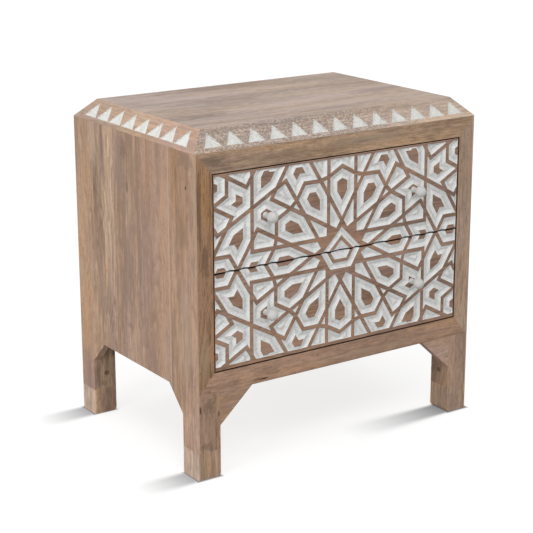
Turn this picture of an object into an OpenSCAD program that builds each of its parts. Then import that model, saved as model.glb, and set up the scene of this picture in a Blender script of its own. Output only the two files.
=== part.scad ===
// Nightstand on four short legs, with two inset drawers and a sloped top edge.
// Millimetres, +Z up, front towards -Y, origin under the middle of the whole object, knobs included.

/* [Case] */
// Width over the two side panels
case_w = 610; // [560:1:680]
// Depth from the front frame to the back panel, without the knobs
case_d = 424; // [390:1:480]
// Height from the floor to the top face
case_h = 610; // [560:1:680]
// Thickness of the side panels
side_t = 15; // [12:0.5:18]
// Front strip of each side panel that covers the end of the front frame
side_lip = 4; // [2:0.5:6]
// Thickness of the back panel
back_t = 12; // [9:0.5:15]
// Thickness of the bottom panel
floor_t = 12; // [9:0.5:15]
// Height of the bottom panel's underside above the underside of the case
floor_up = 6; // [2:1:12]
// Rounding of the four upright corners of the case
corner_r = 2; // [1:0.5:4]

/* [Legs] */
// Height of the underside of the case above the floor
under_z = 154.5; // [130:0.5:180]
// Width of a leg across the front
leg_w = 46; // [40:0.5:56]
// Depth of a leg along the side
leg_d = 48.5; // [40:0.5:56]
// Slanted cut at the upper corners of the side and back arches
arch_cut = 45; // [25:1:60]
// Height of the foot blocks
foot_h = 50; // [40:1:58]
// Rounding of the lower inner edge of the foot blocks
foot_r = 7; // [3:0.5:10]
// Width of the triangular brackets beside the front legs
bracket_w = 66.5; // [40:0.5:80]
// Height of the triangular brackets beside the front legs
bracket_h = 61; // [40:0.5:80]

/* [Front frame] */
// Thickness of the front frame
frame_t = 18; // [15:0.5:20]
// Width of the stiles inside the side panel's strip
stile_w = 31; // [27:0.5:36]
// Height of the top rail below the sloped edge
top_rail_h = 36.5; // [28:0.5:44]
// Height of the bottom rail
bottom_rail_h = 36.5; // [28:0.5:44]

/* [Top] */
// Width and height of the 45 degree slope round the top
slope = 33; // [28:0.5:38]
// Thickness of the flat top panel
top_t = 22; // [16:0.5:25]
// Width of the ledge that carries the top panel
ledge_w = 12; // [8:0.5:16]
// Width of the cleats under the edge pieces
cleat_w = 26; // [22:0.5:32]
// Height of the cleats under the edge pieces
cleat_h = 28; // [20:0.5:32]

/* [Triangles] */
// Depth of the triangles below the slope
tri_depth = 1.5; // [0.5:0.1:3]
// Least distance from a corner of the case to the first triangle's tip
tri_margin = 40; // [36:1:60]
// Height of the front triangles along the slope
front_tri_h = 27; // [18:0.5:30]
// Width of the front triangles
front_tri_w = 33; // [24:0.5:40]
// Spacing of the front triangles
front_tri_pitch = 43.8; // [42:0.1:60]
// Distance from the front triangles' tips to the upper edge of the slope
front_tri_gap = 10; // [6:0.5:12]
// Height of the side triangles along the slope
side_tri_h = 30; // [18:0.5:32]
// Width of the side triangles
side_tri_w = 40; // [30:0.5:42]
// Spacing of the side triangles
side_tri_pitch = 45.1; // [44:0.1:60]
// Distance from the side triangles' tips to the upper edge of the slope
side_tri_gap = 7; // [5:0.5:12]

/* [Drawers] */
// Thickness of the carved drawer fronts
front_t = 20; // [16:0.5:24]
// Distance that the drawer fronts sit behind the front frame
front_recess = 1; // [0:0.5:4]
// Gap round the drawer fronts
front_gap = 1.7; // [1:0.1:3]
// Gap between the two drawer fronts
split_gap = 1.3; // [1:0.1:3]
// Distance of the gap between the drawers above the middle of the opening
split_up = 1; // [-5:0.5:5]
// Thickness of the drawer box's front, sides and back
box_t = 15; // [12:0.5:18]
// Gap between the drawer box and the edge of the opening
box_gap = 4; // [2:0.5:8]
// Distance of the box's lower edge above the drawer front's lower edge
box_up = 8; // [4:0.5:16]
// Distance of the box's upper edge below the drawer front's upper edge
box_down = 20; // [14:0.5:32]
// Space behind the drawer box
box_back_gap = 15; // [8:1:25]
// Thickness of the drawer bottoms
bottom_t = 6; // [4:0.5:8]
// Height of the drawer bottom above the box's lower edge
bottom_up = 10; // [7:0.5:14]
// Depth of the grooves that hold the drawer bottom
bottom_groove = 5; // [3:0.5:7]

/* [Carving] */
// Distance between the middles of two rosettes
rosette_pitch = 441; // [420:1:460]
// Distance of the star's lines from the middle of the rosette
star_gap = 29.5; // [26:0.5:33]
// Distance of the petal tips from the middle of the rosette
petal_tip = 162; // [155:1:170]
// Height of the pattern as a share of its width
squeeze = 0.95; // [0.9:0.01:1]
// Distance of the rosette's middle above the middle of the opening
rosette_up = 2.25; // [-5:0.25:5]
// Distance of the rosette's middle to the right of the middle of the case
rosette_right = 0.5; // [-3:0.5:3]
// Distance that the upper front's half of the pattern sits too low
upper_drop = 2; // [0:0.5:4]
// Distance that the lower front's half of the pattern sits too far left
lower_left = 1.8; // [0:0.1:4]
// Width of the bands between the grooves, half way down their slanted sides
band_w = 11.2; // [8:0.2:13]
// Width of the grooves, half way down their slanted sides
groove_w = 10.4; // [8:0.2:12]
// Depth of the grooves, evened out over their width
carve_depth = 4; // [2:0.5:6]
// Least width of a groove or island that is carved
least_carved = 2.4; // [1:0.2:4]
// Plain strip along the upper edge of the upper front
top_strip = 6; // [4:0.5:12]
// Plain strip along the lower edge of the lower front
bottom_strip = 9.5; // [4:0.5:14]
// Plain strip along the ends of both fronts
side_strip = 4.2; // [3:0.1:10]
// Width of the motif in the middle of the rosette
motif_w = 86; // [80:1:90]
// Width of the motif's lower edge
motif_foot_w = 46; // [40:1:50]
// Height of the motif's tip above the middle of the rosette
motif_rise = 42; // [38:1:44]
// Depth of the motif's lower edge below the middle of the rosette
motif_drop = 34; // [30:1:38]
// Width of the groove round the motif
motif_groove = 9; // [7:0.5:11]
// Width of the band inside that groove
motif_band = 7.5; // [5:0.5:9]
// Width of the plain ring round the foot of a knob
knob_ring = 2; // [1:0.5:4]

/* [Runners] */
// Height of the runner's tongue
tongue_h = 16; // [12:0.5:22]
// Depth of the groove in the drawer side
groove_d = 8.5; // [6:0.5:9.5]
// Height of the runner's base
runner_h = 44; // [40:1:56]
// Sideways running gap of the runners
runner_gap = 1; // [0.5:0.1:1.5]
// Gap above the tongue, which carries the drawer
rest_gap = 0.3; // [0.2:0.05:0.5]
// Gap below the tongue
drop_gap = 0.7; // [0.4:0.1:1.5]

/* [Knobs] */
// Diameter of the knob's ball
knob_d = 20; // [16:0.5:24]
// Distance from the drawer front to the ball's centre
knob_reach = 21; // [18:0.5:28]
// Diameter of the knob's stem
stem_d = 10; // [8:0.5:12]
// Distance of the knobs from the middle of the drawer
knob_x = 163; // [120:1:200]
// Height of the knobs above the middle of the drawer front
knob_up = 2; // [-10:0.5:10]

/* [Screws] */
// Diameter of the screw shanks
screw_d = 4; // [3:0.5:4.5]
// Diameter of the screw heads
head_d = 8; // [6:0.5:9]
// Thickness of the screw heads
head_t = 2.5; // [2:0.1:3]
// Gap round the screws in their holes
screw_gap = 0.1; // [0.05:0.05:0.2]
// Length of screw in the last piece that it holds
screw_bite = 8; // [6:0.5:10]
// Depth of a knob screw in the knob
knob_bite = 12; // [8:0.5:16]
// Length of a cleat screw in the edge piece above
cleat_bite = 14; // [8:0.5:16]
// Distance of the cleat screws from the side panel
cleat_screw_in = 8; // [6:0.5:12]
// Diameter of the wood plugs over the leg screws
plug_d = 10; // [9:0.5:12]
// Thickness of the wood plugs
plug_t = 5; // [3:0.5:8]
// Gap round the plugs
plug_gap = 0.1; // [0.05:0.05:0.2]
// Height of the plugs above the floor
plug_z = 80; // [70:1:110]
// Distance of the plugs from the outside of the case
plug_in = 27; // [26:0.5:32]

/* [Hidden] */
$fn = 48;

// Length by which cutting shapes pass through what they cut
over = 1;

// The case
knob_out = knob_reach + knob_d / 2 - front_recess;
half_w = case_w / 2;
front_y = (knob_out - case_d) / 2;
back_y = front_y + case_d;
mid_y = (front_y + back_y) / 2;
case_top = case_h - slope;
side_in = half_w - side_t;
frame_half = half_w - side_lip;
frame_back = front_y + frame_t;
back_in = back_y - back_t;
floor_z = under_z + floor_up;
leg_in = half_w - leg_w;

// The opening in the front frame
open_half = frame_half - stile_w;
open_low = under_z + bottom_rail_h;
open_high = case_top - top_rail_h;
split_z = (open_low + open_high) / 2 + split_up;

// The sloped edge
slope_len = slope * sqrt(2);
edge_w = slope + ledge_w;

// The drawers
front_half = open_half - front_gap;
front_face = front_y + front_recess;
front_back = front_face + front_t;
box_half = open_half - box_gap;
box_in = box_half - box_t;
box_end = back_in - box_back_gap;
box_len = box_end - front_back;

// The carving
rosette_z = (open_low + open_high) / 2 + rosette_up;
rosette_reach = rosette_pitch * cos(30) / 2;
shoulder = petal_tip - star_gap * tan(30);
hexagon_r = rosette_pitch * (1 / sqrt(3) - 1 / 2);
carve_fn = 12;
hair = 0.05;

// The runners
runner_start = front_back + rest_gap;
runner_len = back_in - runner_start;
tongue_tip = box_half - groove_d + runner_gap;
base_face = box_half + runner_gap;
head_sink = head_t + screw_gap;
RUNNER_SCREWS_AT = [0.12, 0.5, 0.88];
CLEAT_SCREWS_AT = [0.1, 0.5, 0.9];

// Each drawer is [low edge of its front, high edge of its front]
UPPER = [split_z + split_gap / 2, open_high - front_gap];
LOWER = [open_low + front_gap, split_z - split_gap / 2];
function box_low(d) = d[0] + box_up;
function box_high(d) = d[1] - box_down;
function tongue_z(d) = (box_low(d) + box_high(d)) / 2;
function knob_z(d) = (d[0] + d[1]) / 2 + knob_up;

// Places

module on_left() {
    mirror([1, 0, 0]) children();
}

// A drawing in X and Z, given thickness t backwards from y
module upright(y, t) {
    translate([0, y + t, 0]) rotate([90, 0, 0]) linear_extrude(t) children();
}

// A drawing in Y and Z, given thickness t along X from x
module sideways(x, t) {
    translate([x, 0, 0]) rotate([90, 0, 90]) linear_extrude(t) children();
}

// A box from its low corner to its high corner
module block(low, high) {
    translate(low) cube(high - low);
}

// Plan of the case, with its four corners rounded
module case_plan() {
    inner_w = case_w - 2 * corner_r;
    inner_d = case_d - 2 * corner_r;
    translate([0, mid_y]) {
        square([case_w, inner_d], center = true);
        square([inner_w, case_d], center = true);
        for (sx = [-1, 1], sy = [-1, 1])
            translate([sx * inner_w / 2, sy * inner_d / 2]) circle(corner_r);
    }
}

module within_case() {
    intersection() {
        children();
        linear_extrude(case_h) case_plan();
    }
}

// Screws

// A screw along +Z, its head's seat at the origin and its head below
module screw(length) {
    cylinder(d = screw_d, h = length);
    translate([0, 0, -head_t]) cylinder(d = head_d, h = head_t);
}

// The hole for a screw of this length, with a head hole that reaches back by the sink
module screw_hole(length, sink = 0) {
    translate([0, 0, -over]) cylinder(d = screw_d + 2 * screw_gap, h = length + over + screw_gap);
    if (sink > 0)
        translate([0, 0, -sink - over]) cylinder(d = head_d + 2 * screw_gap, h = sink + over);
}

// The side and back panels

// Outline of a panel that stands on two legs, from u0 to u1, with an arch between the legs
module arched_panel(u0, u1, leg) {
    a = u0 + leg;
    b = u1 - leg;
    arch_z = under_z - arch_cut;
    polygon([
        [u0, foot_h], [u0, case_top], [u1, case_top], [u1, foot_h],
        [b, foot_h], [b, arch_z], [b - arch_cut, under_z],
        [a + arch_cut, under_z], [a, arch_z], [a, foot_h]
    ]);
}

module side_panel() {
    color([0.67, 0.56, 0.48]) difference() {
        within_case() sideways(side_in, side_t) arched_panel(front_y, back_y, leg_d);
        block([side_in - over, front_y - over, 0], [frame_half, frame_back, case_h]);
        front_leg_screw_holes();
        runner_screw_holes(UPPER);
        runner_screw_holes(LOWER);
    }
}

module back_panel() {
    color([0.62, 0.52, 0.44]) difference() {
        upright(back_in, back_t) arched_panel(-side_in, side_in, leg_w - side_t);
        back_leg_screw_holes();
        on_left() back_leg_screw_holes();
    }
}

module bottom_panel() {
    color([0.72, 0.62, 0.5])
        block([-side_in, frame_back, floor_z], [side_in, back_in, floor_z + floor_t]);
}

// The top

module top_panel() {
    color([0.72, 0.66, 0.6]) block(
        [slope - half_w, front_y + slope, case_h - top_t],
        [half_w - slope, back_y - slope, case_h]
    );
}

// Section of an edge piece: how far in, and how high
module edge_section() {
    ledge_z = case_h - top_t;
    polygon([
        [0, case_top], [edge_w, case_top], [edge_w, ledge_z], [slope, ledge_z], [slope, case_h]
    ]);
}

// A row of triangular recesses on the slope, as many as fit between the margins
module triangle_row(length, width, height, pitch, gap) {
    steps = floor((length - 2 * tri_margin) / pitch);
    tip = slope_len - gap;
    translate([0, 0, case_top]) rotate([45, 0, 0])
        for (i = [0 : steps])
            translate([(i - steps / 2) * pitch, 0, -tri_depth]) linear_extrude(tri_depth + over)
                polygon([[-width / 2, tip - height], [width / 2, tip - height], [0, tip]]);
}

// A mitred edge piece along X, outer face at y = 0, with what is cut from it as its children
module edge_piece(length) {
    difference() {
        intersection() {
            sideways(-length / 2, length) edge_section();
            linear_extrude(case_h + over) polygon([
                [-length / 2, 0], [length / 2, 0], [length / 2 - edge_w, edge_w], [edge_w - length / 2, edge_w]
            ]);
        }
        children();
    }
}

module front_edge_piece() {
    color([0.68, 0.58, 0.5]) within_case() translate([0, front_y, 0])
        edge_piece(case_w)
            triangle_row(case_w, front_tri_w, front_tri_h, front_tri_pitch, front_tri_gap);
}

module back_edge_piece() {
    color([0.68, 0.58, 0.5]) within_case() translate([0, back_y, 0]) rotate([0, 0, 180])
        edge_piece(case_w);
}

module side_edge_piece() {
    color([0.78, 0.62, 0.5]) difference() {
        within_case() translate([half_w, mid_y, 0]) rotate([0, 0, 90])
            edge_piece(case_d)
                triangle_row(case_d, side_tri_w, side_tri_h, side_tri_pitch, side_tri_gap);
        cleat_screw_holes();
    }
}

// The front frame, mitred at its four corners

module front_top_rail() {
    color([0.6, 0.49, 0.39]) upright(front_y, frame_t) polygon([
        [-frame_half, case_top], [frame_half, case_top], [open_half, open_high], [-open_half, open_high]
    ]);
}

module front_bottom_rail() {
    color([0.62, 0.51, 0.42]) upright(front_y, frame_t) polygon([
        [-frame_half, under_z], [frame_half, under_z], [open_half, open_low], [-open_half, open_low]
    ]);
}

module stile() {
    color([0.57, 0.47, 0.35]) upright(front_y, frame_t) polygon([
        [frame_half, case_top], [open_half, open_high], [open_half, open_low], [frame_half, under_z]
    ]);
}

// The legs

module front_leg_face() {
    color([0.6, 0.5, 0.41]) block([leg_in, front_y, foot_h], [frame_half, frame_back, under_z]);
}

module bracket() {
    color([0.65, 0.55, 0.47]) upright(front_y, frame_t)
        polygon([[leg_in, under_z], [leg_in - bracket_w, under_z], [leg_in, under_z - bracket_h]]);
}

module front_leg_block() {
    color([0.58, 0.47, 0.38]) difference() {
        block([leg_in, frame_back, foot_h], [side_in, front_y + leg_d, floor_z]);
        front_leg_screw_holes();
    }
}

module back_leg_block() {
    color([0.58, 0.47, 0.38]) difference() {
        block([leg_in, back_y - leg_d, foot_h], [side_in, back_in, floor_z]);
        back_leg_screw_holes();
    }
}

// A foot at the front or back, its lower inner edge rounded
module foot(y) {
    color([0.7, 0.6, 0.51]) within_case() upright(y, leg_d) {
        translate([leg_in, foot_r]) square([leg_w, foot_h - foot_r]);
        translate([leg_in + foot_r, 0]) square([leg_w - foot_r, foot_h]);
        translate([leg_in + foot_r, foot_r]) circle(foot_r);
    }
}

// The leg screws lie under wood plugs on the inner faces of the legs
plug_hole_d = plug_d + 2 * plug_gap;
plug_sink = plug_t + head_sink;
front_leg_screw_len = leg_w - side_t - plug_sink + screw_bite;
back_leg_screw_len = leg_d - back_t - plug_sink + screw_bite;

module at_front_leg_plug() {
    translate([leg_in, front_y + plug_in, plug_z]) rotate([0, 90, 0]) children();
}

module at_back_leg_plug() {
    translate([half_w - plug_in, back_y - leg_d, plug_z]) rotate([-90, 0, 0]) children();
}

// The hole for a plug and the screw under it, going in along +Z
module plugged_hole(length) {
    translate([0, 0, -over]) cylinder(d = plug_hole_d, h = plug_sink + over);
    translate([0, 0, plug_sink]) screw_hole(length);
}

module front_leg_screw_holes() {
    at_front_leg_plug() plugged_hole(front_leg_screw_len);
}

module back_leg_screw_holes() {
    at_back_leg_plug() plugged_hole(back_leg_screw_len);
}

module leg_plugs() {
    color([0.45, 0.36, 0.28]) both_sides() {
        at_front_leg_plug() cylinder(d = plug_d, h = plug_t);
        at_back_leg_plug() cylinder(d = plug_d, h = plug_t);
    }
}

module leg_screws() {
    color("silver") both_sides() {
        at_front_leg_plug() translate([0, 0, plug_sink]) screw(front_leg_screw_len);
        at_back_leg_plug() translate([0, 0, plug_sink]) screw(back_leg_screw_len);
    }
}

module both_sides() {
    children();
    on_left() children();
}

// The cleats under the side edge pieces

module cleat() {
    color([0.72, 0.62, 0.5]) difference() {
        block([side_in - cleat_w, frame_back, case_top - cleat_h], [side_in, back_in, case_top]);
        cleat_screw_holes();
    }
}

module at_cleat_screws() {
    for (t = CLEAT_SCREWS_AT)
        translate([side_in - cleat_screw_in, frame_back + t * (back_in - frame_back), case_top - cleat_h + head_sink])
            children();
}

cleat_screw_len = cleat_h - head_sink + cleat_bite;

module cleat_screw_holes() {
    at_cleat_screws() screw_hole(cleat_screw_len, head_sink);
}

module cleat_screws() {
    color("silver") both_sides() at_cleat_screws() screw(cleat_screw_len);
}

// The runners: a base on the side panel and a tongue in the drawer side's groove

runner_screw_len = side_in - base_face - head_sink + screw_bite;
runner_screw_up = (runner_h + tongue_h) / 4;

module runner(d) {
    z = tongue_z(d);
    color([0.75, 0.65, 0.52]) difference() {
        union() {
            block([base_face, runner_start, z - runner_h / 2], [side_in, back_in, z + runner_h / 2]);
            block([tongue_tip, runner_start, z - tongue_h / 2], [side_in, back_in, z + tongue_h / 2]);
        }
        runner_screw_holes(d);
    }
}

module at_runner_screws(d) {
    for (t = RUNNER_SCREWS_AT)
        translate([base_face + head_sink, runner_start + t * runner_len, tongue_z(d) + runner_screw_up])
            rotate([0, 90, 0]) children();
}

module runner_screw_holes(d) {
    at_runner_screws(d) screw_hole(runner_screw_len, head_sink);
}

module runner_screws() {
    color("silver") both_sides() {
        at_runner_screws(UPPER) screw(runner_screw_len);
        at_runner_screws(LOWER) screw(runner_screw_len);
    }
}

// The drawers

module drawer_front(d) {
    color([0.86, 0.85, 0.82]) difference() {
        block([-front_half, front_face, d[0]], [front_half, front_back, d[1]]);
        upright(front_face - over, over + carve_depth) grooves(d);
        knob_screw_holes(d);
    }
}

// The carving: a twelve-fold rosette and its six neighbours, in lines with grooves between them

// A point that lies along and across a direction
function turned(along, across, angle) = [
    along * cos(angle) - across * sin(angle),
    along * sin(angle) + across * cos(angle)
];

// The lines of one rosette, as pairs of points
STAR_LINES = [
    for (k = [0 : 5], side = [-1, 1])
        [turned(rosette_reach, side * star_gap, 30 * k), turned(-rosette_reach, side * star_gap, 30 * k)]
];
OUTER_LINES = [
    for (k = [0 : 11], side = [-1, 1]) [
        turned(rosette_reach, side * star_gap, 30 * k),
        k % 2 == 0
            ? turned(rosette_reach, side * (rosette_pitch / 2 - star_gap), 30 * k)
            : turned(rosette_pitch / 2, 0, 30 * (k + side))
    ]
];
PETAL_TIPS = [
    for (k = [0 : 11], side = [-1, 1])
        [turned(petal_tip, 0, 30 * k), turned(shoulder, side * star_gap, 30 * k)]
];
PETAL_LINKS = [
    for (k = [0 : 11])
        [turned(shoulder, star_gap, 30 * k), turned(shoulder, -star_gap, 30 * (k + 1))]
];
HEXAGONS = [
    for (k = [0 : 5], j = [0 : 5])
        let (middle = turned(rosette_pitch / sqrt(3), 0, 60 * k))
            [middle + turned(hexagon_r, 0, 60 * (k + j)), middle + turned(hexagon_r, 0, 60 * (k + j + 1))]
];
ROSETTE = concat(STAR_LINES, OUTER_LINES, PETAL_TIPS, PETAL_LINKS, HEXAGONS);
MIDDLES = [[0, 0], for (k = [0 : 5]) turned(rosette_pitch, 0, 30 + 60 * k)];

// The star inside the petals stays plain wood round its motif
STAR = [for (k = [0 : 23]) turned(star_gap / sin(k % 2 == 0 ? 30 : 45), 0, 15 * k)];
MOTIF = [
    [0, motif_rise], [-motif_w / 2, 0], [-motif_foot_w / 2, -motif_drop],
    [motif_foot_w / 2, -motif_drop], [motif_w / 2, 0]
];

// Each front carries its half of the pattern slightly out of place
function pattern_middle(d) = d == UPPER
    ? [rosette_right, rosette_z - upper_drop]
    : [rosette_right - lower_left, rosette_z];
function squeezed(point) = [point[0], squeeze * point[1]];

module hairline(from, to) {
    way = to - from;
    translate(from) rotate(atan2(way[1], way[0]))
        translate([0, -hair / 2]) square([norm(way), hair]);
}

// The part of a front that is carved, drawn past the edge where the pattern runs on
module carved_field(d) {
    half = front_half - side_strip + band_w / 2;
    low = d == UPPER ? d[0] - petal_tip : d[0] + bottom_strip - band_w / 2;
    high = d == UPPER ? d[1] - top_strip + band_w / 2 : d[1] + petal_tip;
    translate([-half, low]) square([2 * half, high - low]);
}

// A drawing with its edges moved inward, without what is too narrow to carve
module drawn_in(amount) {
    offset(delta = least_carved / 2) offset(r = -amount - least_carved / 2, $fn = carve_fn) children();
}

// The hollows between the bands
module cells(d) {
    drawn_in(band_w / 2) difference() {
        carved_field(d);
        translate(pattern_middle(d)) {
            for (middle = MIDDLES, ends = ROSETTE)
                hairline(squeezed(ends[0] + middle), squeezed(ends[1] + middle));
            polygon([for (point = STAR) squeezed(point)]);
        }
    }
}

module motif(inset) {
    translate([rosette_right, rosette_z]) offset(delta = -inset) polygon(MOTIF);
}

// The grooves: round the island in each cell that is wide enough, but not under a knob
module grooves(d) {
    difference() {
        cells(d);
        drawn_in(groove_w) cells(d);
        for (side = [-1, 1])
            translate([side * knob_x, knob_z(d)]) circle(d = stem_d + 2 * knob_ring);
    }
    difference() {
        motif(0);
        motif(motif_groove);
    }
    motif(motif_groove + motif_band);
}

module box_front(d) {
    color([0.76, 0.67, 0.55]) difference() {
        block([-box_in, front_back, box_low(d)], [box_in, front_back + box_t, box_high(d)]);
        knob_screw_holes(d);
        box_bottom_shape(d);
    }
}

module box_side(d) {
    z = tongue_z(d);
    color([0.76, 0.67, 0.55]) difference() {
        block([box_in, front_back, box_low(d)], [box_half, box_end, box_high(d)]);
        block(
            [box_half - groove_d, front_back - over, z - tongue_h / 2 - drop_gap],
            [box_half + over, box_end + over, z + tongue_h / 2 + rest_gap]
        );
        box_bottom_shape(d);
    }
}

module box_back(d) {
    color([0.76, 0.67, 0.55]) difference() {
        block([-box_in, box_end - box_t, box_low(d)], [box_in, box_end, box_high(d)]);
        box_bottom_shape(d);
    }
}

// The drawer bottom fills its grooves
module box_bottom_shape(d) {
    z = box_low(d) + bottom_up;
    block(
        [-box_in - bottom_groove, front_back + box_t - bottom_groove, z],
        [box_in + bottom_groove, box_end - box_t + bottom_groove, z + bottom_t]
    );
}

module box_bottom(d) {
    color([0.8, 0.73, 0.6]) box_bottom_shape(d);
}

knob_screw_len = box_t + front_t + knob_bite;

// The seat of a knob screw's head, inside the drawer box, the screw pointing forwards
module at_knob_screw(d) {
    translate([knob_x, front_back + box_t, knob_z(d)]) rotate([90, 0, 0]) children();
}

module knob_screw_holes(d) {
    both_sides() at_knob_screw(d) screw_hole(knob_screw_len);
}

module knob_screws(d) {
    color("silver") both_sides() at_knob_screw(d) screw(knob_screw_len);
}

// A turned knob: a ball on a stem that ends inside the ball
module knob(d) {
    color([0.93, 0.93, 0.9]) difference() {
        translate([knob_x, front_face, knob_z(d)]) rotate([90, 0, 0]) {
            cylinder(d = stem_d, h = knob_reach);
            translate([0, 0, knob_reach]) sphere(d = knob_d);
        }
        at_knob_screw(d) screw_hole(knob_screw_len);
    }
}

on_left() side_panel();  // left_side_panel
side_panel();  // right_side_panel
back_panel();
bottom_panel();
top_panel();
front_edge_piece();
back_edge_piece();
on_left() side_edge_piece();  // left_edge_piece
side_edge_piece();  // right_edge_piece
front_top_rail();
front_bottom_rail();
on_left() stile();  // left_stile
stile();  // right_stile
on_left() front_leg_face();  // left_front_leg_face
front_leg_face();  // right_front_leg_face
on_left() bracket();  // left_bracket
bracket();  // right_bracket
on_left() front_leg_block();  // left_front_leg_block
front_leg_block();  // right_front_leg_block
on_left() back_leg_block();  // left_back_leg_block
back_leg_block();  // right_back_leg_block
on_left() foot(front_y);  // left_front_foot
foot(front_y);  // right_front_foot
on_left() foot(back_y - leg_d);  // left_back_foot
foot(back_y - leg_d);  // right_back_foot
leg_plugs();
leg_screws();
on_left() cleat();  // left_cleat
cleat();  // right_cleat
cleat_screws();
on_left() runner(UPPER);  // upper_left_runner
runner(UPPER);  // upper_right_runner
on_left() runner(LOWER);  // lower_left_runner
runner(LOWER);  // lower_right_runner
runner_screws();
drawer_front(UPPER);  // upper_drawer_front
box_front(UPPER);  // upper_box_front
on_left() box_side(UPPER);  // upper_box_left
box_side(UPPER);  // upper_box_right
box_back(UPPER);  // upper_box_back
box_bottom(UPPER);  // upper_box_bottom
on_left() knob(UPPER);  // upper_left_knob
knob(UPPER);  // upper_right_knob
knob_screws(UPPER);  // upper_knob_screws
drawer_front(LOWER);  // lower_drawer_front
box_front(LOWER);  // lower_box_front
on_left() box_side(LOWER);  // lower_box_left
box_side(LOWER);  // lower_box_right
box_back(LOWER);  // lower_box_back
box_bottom(LOWER);  // lower_box_bottom
on_left() knob(LOWER);  // lower_left_knob
knob(LOWER);  // lower_right_knob
knob_screws(LOWER);  // lower_knob_screws
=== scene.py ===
"""Looks of a nightstand with two carved drawer fronts, laid out as a Blender add-on."""
from functools import cache
from math import cos, inf, pi, radians, sin, sqrt, tan

import bmesh
import bpy
from bpy.props import FloatProperty, FloatVectorProperty, PointerProperty
from mathutils import Matrix, Vector, noise
from mathutils.geometry import delaunay_2d_cdt


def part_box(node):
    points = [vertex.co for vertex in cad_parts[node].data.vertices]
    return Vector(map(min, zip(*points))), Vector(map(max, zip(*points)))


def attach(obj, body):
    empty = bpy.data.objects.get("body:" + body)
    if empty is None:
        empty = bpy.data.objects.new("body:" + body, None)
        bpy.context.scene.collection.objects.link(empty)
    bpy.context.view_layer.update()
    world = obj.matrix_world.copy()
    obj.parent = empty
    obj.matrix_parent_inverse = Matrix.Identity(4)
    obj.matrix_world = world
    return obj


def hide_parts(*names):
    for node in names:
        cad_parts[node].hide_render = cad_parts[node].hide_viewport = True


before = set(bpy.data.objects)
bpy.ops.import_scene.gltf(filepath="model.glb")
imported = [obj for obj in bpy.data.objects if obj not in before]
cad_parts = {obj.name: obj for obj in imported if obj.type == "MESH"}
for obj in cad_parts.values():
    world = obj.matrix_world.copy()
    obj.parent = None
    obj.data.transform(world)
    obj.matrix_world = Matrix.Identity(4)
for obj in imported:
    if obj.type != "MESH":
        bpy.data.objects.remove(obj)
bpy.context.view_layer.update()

bl_info = {
    "name": "Carved Nightstand",
    "version": (1, 0, 0),
    "blender": (4, 5, 0),
    "location": "3D View > Sidebar > Nightstand",
    "description": "Finishes the boards, carves the drawer fronts and sets the stage of a nightstand",
    "category": "Object",
}

PHOTO_SIDE = 533
MM = 0.001

# Where the main faces of the case lie
CASE_LOW = Vector(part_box("left_side_panel")[0])
CASE_HIGH = Vector(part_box("right_side_panel")[1])
SLOPE_FOOT = CASE_HIGH.z
SLOPE_LENGTH = sqrt(2) * (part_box("front_edge_piece")[1][2] - SLOPE_FOOT)
TOP_LOW, TOP_HIGH = (Vector(corner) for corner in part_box("top_panel"))
MIDDLE = (CASE_LOW + CASE_HIGH) / 2
HALF_FOOT = 21.5 * MM


def colour_property(name, description, default):
    return FloatVectorProperty(
        name=name, description=description, default=default, subtype="COLOR", size=3, min=0, max=1
    )


def length_property(name, description, default_mm):
    return FloatProperty(
        name=name, description=description, default=default_mm * MM, unit="LENGTH", precision=5
    )


def angle_property(name, description, degrees):
    return FloatProperty(name=name, description=description, default=radians(degrees), subtype="ANGLE")


def power_property(name, description, watts):
    return FloatProperty(name=name, description=description, default=watts, unit="POWER")


# Settings

class NightstandCarving(bpy.types.PropertyGroup):
    """Layout and section of the carved pattern"""
    spacing: length_property("Rosette spacing", "Distance between the middles of two rosettes", 441)
    half_gap: length_property("Half gap", "Half the distance between a pair of star lines", 29.5)
    tip: length_property("Petal tip", "Distance of the petal tips from the middle", 162)
    middle_x: length_property("Middle sideways", "Offset of the rosette from the middle of the case", 0.5)
    middle_z: length_property("Middle height", "Height of the rosette's middle above the floor", 368)
    squeeze: FloatProperty(name="Squeeze", description="Height of the pattern over its width", default=0.95)
    upper_drop: length_property("Upper drop", "Distance that the upper drawer's half sits lower", 2)
    lower_left: length_property("Lower shift", "Distance that the lower drawer's half sits left", 1.8)
    band: length_property("Band width", "Width of the raised bands", 6.5)
    groove: length_property("Groove width", "Width of a groove from band to island", 15.6)
    depth: length_property("Groove depth", "Depth of the grooves below the bands", 4.2)
    # The rims' dark colour is worn wood and painted shade
    rim: length_property("Worn and shaded rim", "Width of the dark rim where paint and wood meet", 0.9)
    top_strip: length_property("Top strip", "Plain strip along the upper drawer's upper edge", 4.0)
    bottom_strip: length_property("Bottom strip", "Plain strip along the lower drawer's lower edge", 7)
    side_strip: length_property("Side strip", "Plain strip along the ends of both fronts", 1.7)
    split_ease: length_property("Split ease", "What each front gives up where the two meet", 0.85)
    edge_ease: length_property("Edge ease", "What each front gives up beside the frame", 0.7)
    spill: length_property("Paint spill", "How far the grooves' paint runs over the boards' edges", 2.5)
    overrun: length_property("Overrun", "How far the pattern runs past the lower and upper strips", 15.5)
    side_overrun: length_property("Side overrun", "How far the pattern runs past the end strips", 21)
    wander: length_property("Wander", "Distance that the hand-cut lines stray", 0.5)


class NightstandFinish(bpy.types.PropertyGroup):
    """Colours and surfaces of the woods and the paint"""
    paint: colour_property("Paint", "White paint of the grooves", (0.832, 0.833, 0.826))
    edge_paint: colour_property("Edge paint", "White paint of the triangles", (0.79, 0.78, 0.745))
    band: colour_property("Band wood", "Mean colour of the bands and islands", (0.308, 0.19, 0.134))
    edge_round: length_property("Edge rounding", "Rounding of the boards' edges", 0.6)
    grain_depth: length_property("Grain depth", "Depth of the open grain", 0.12)


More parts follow.
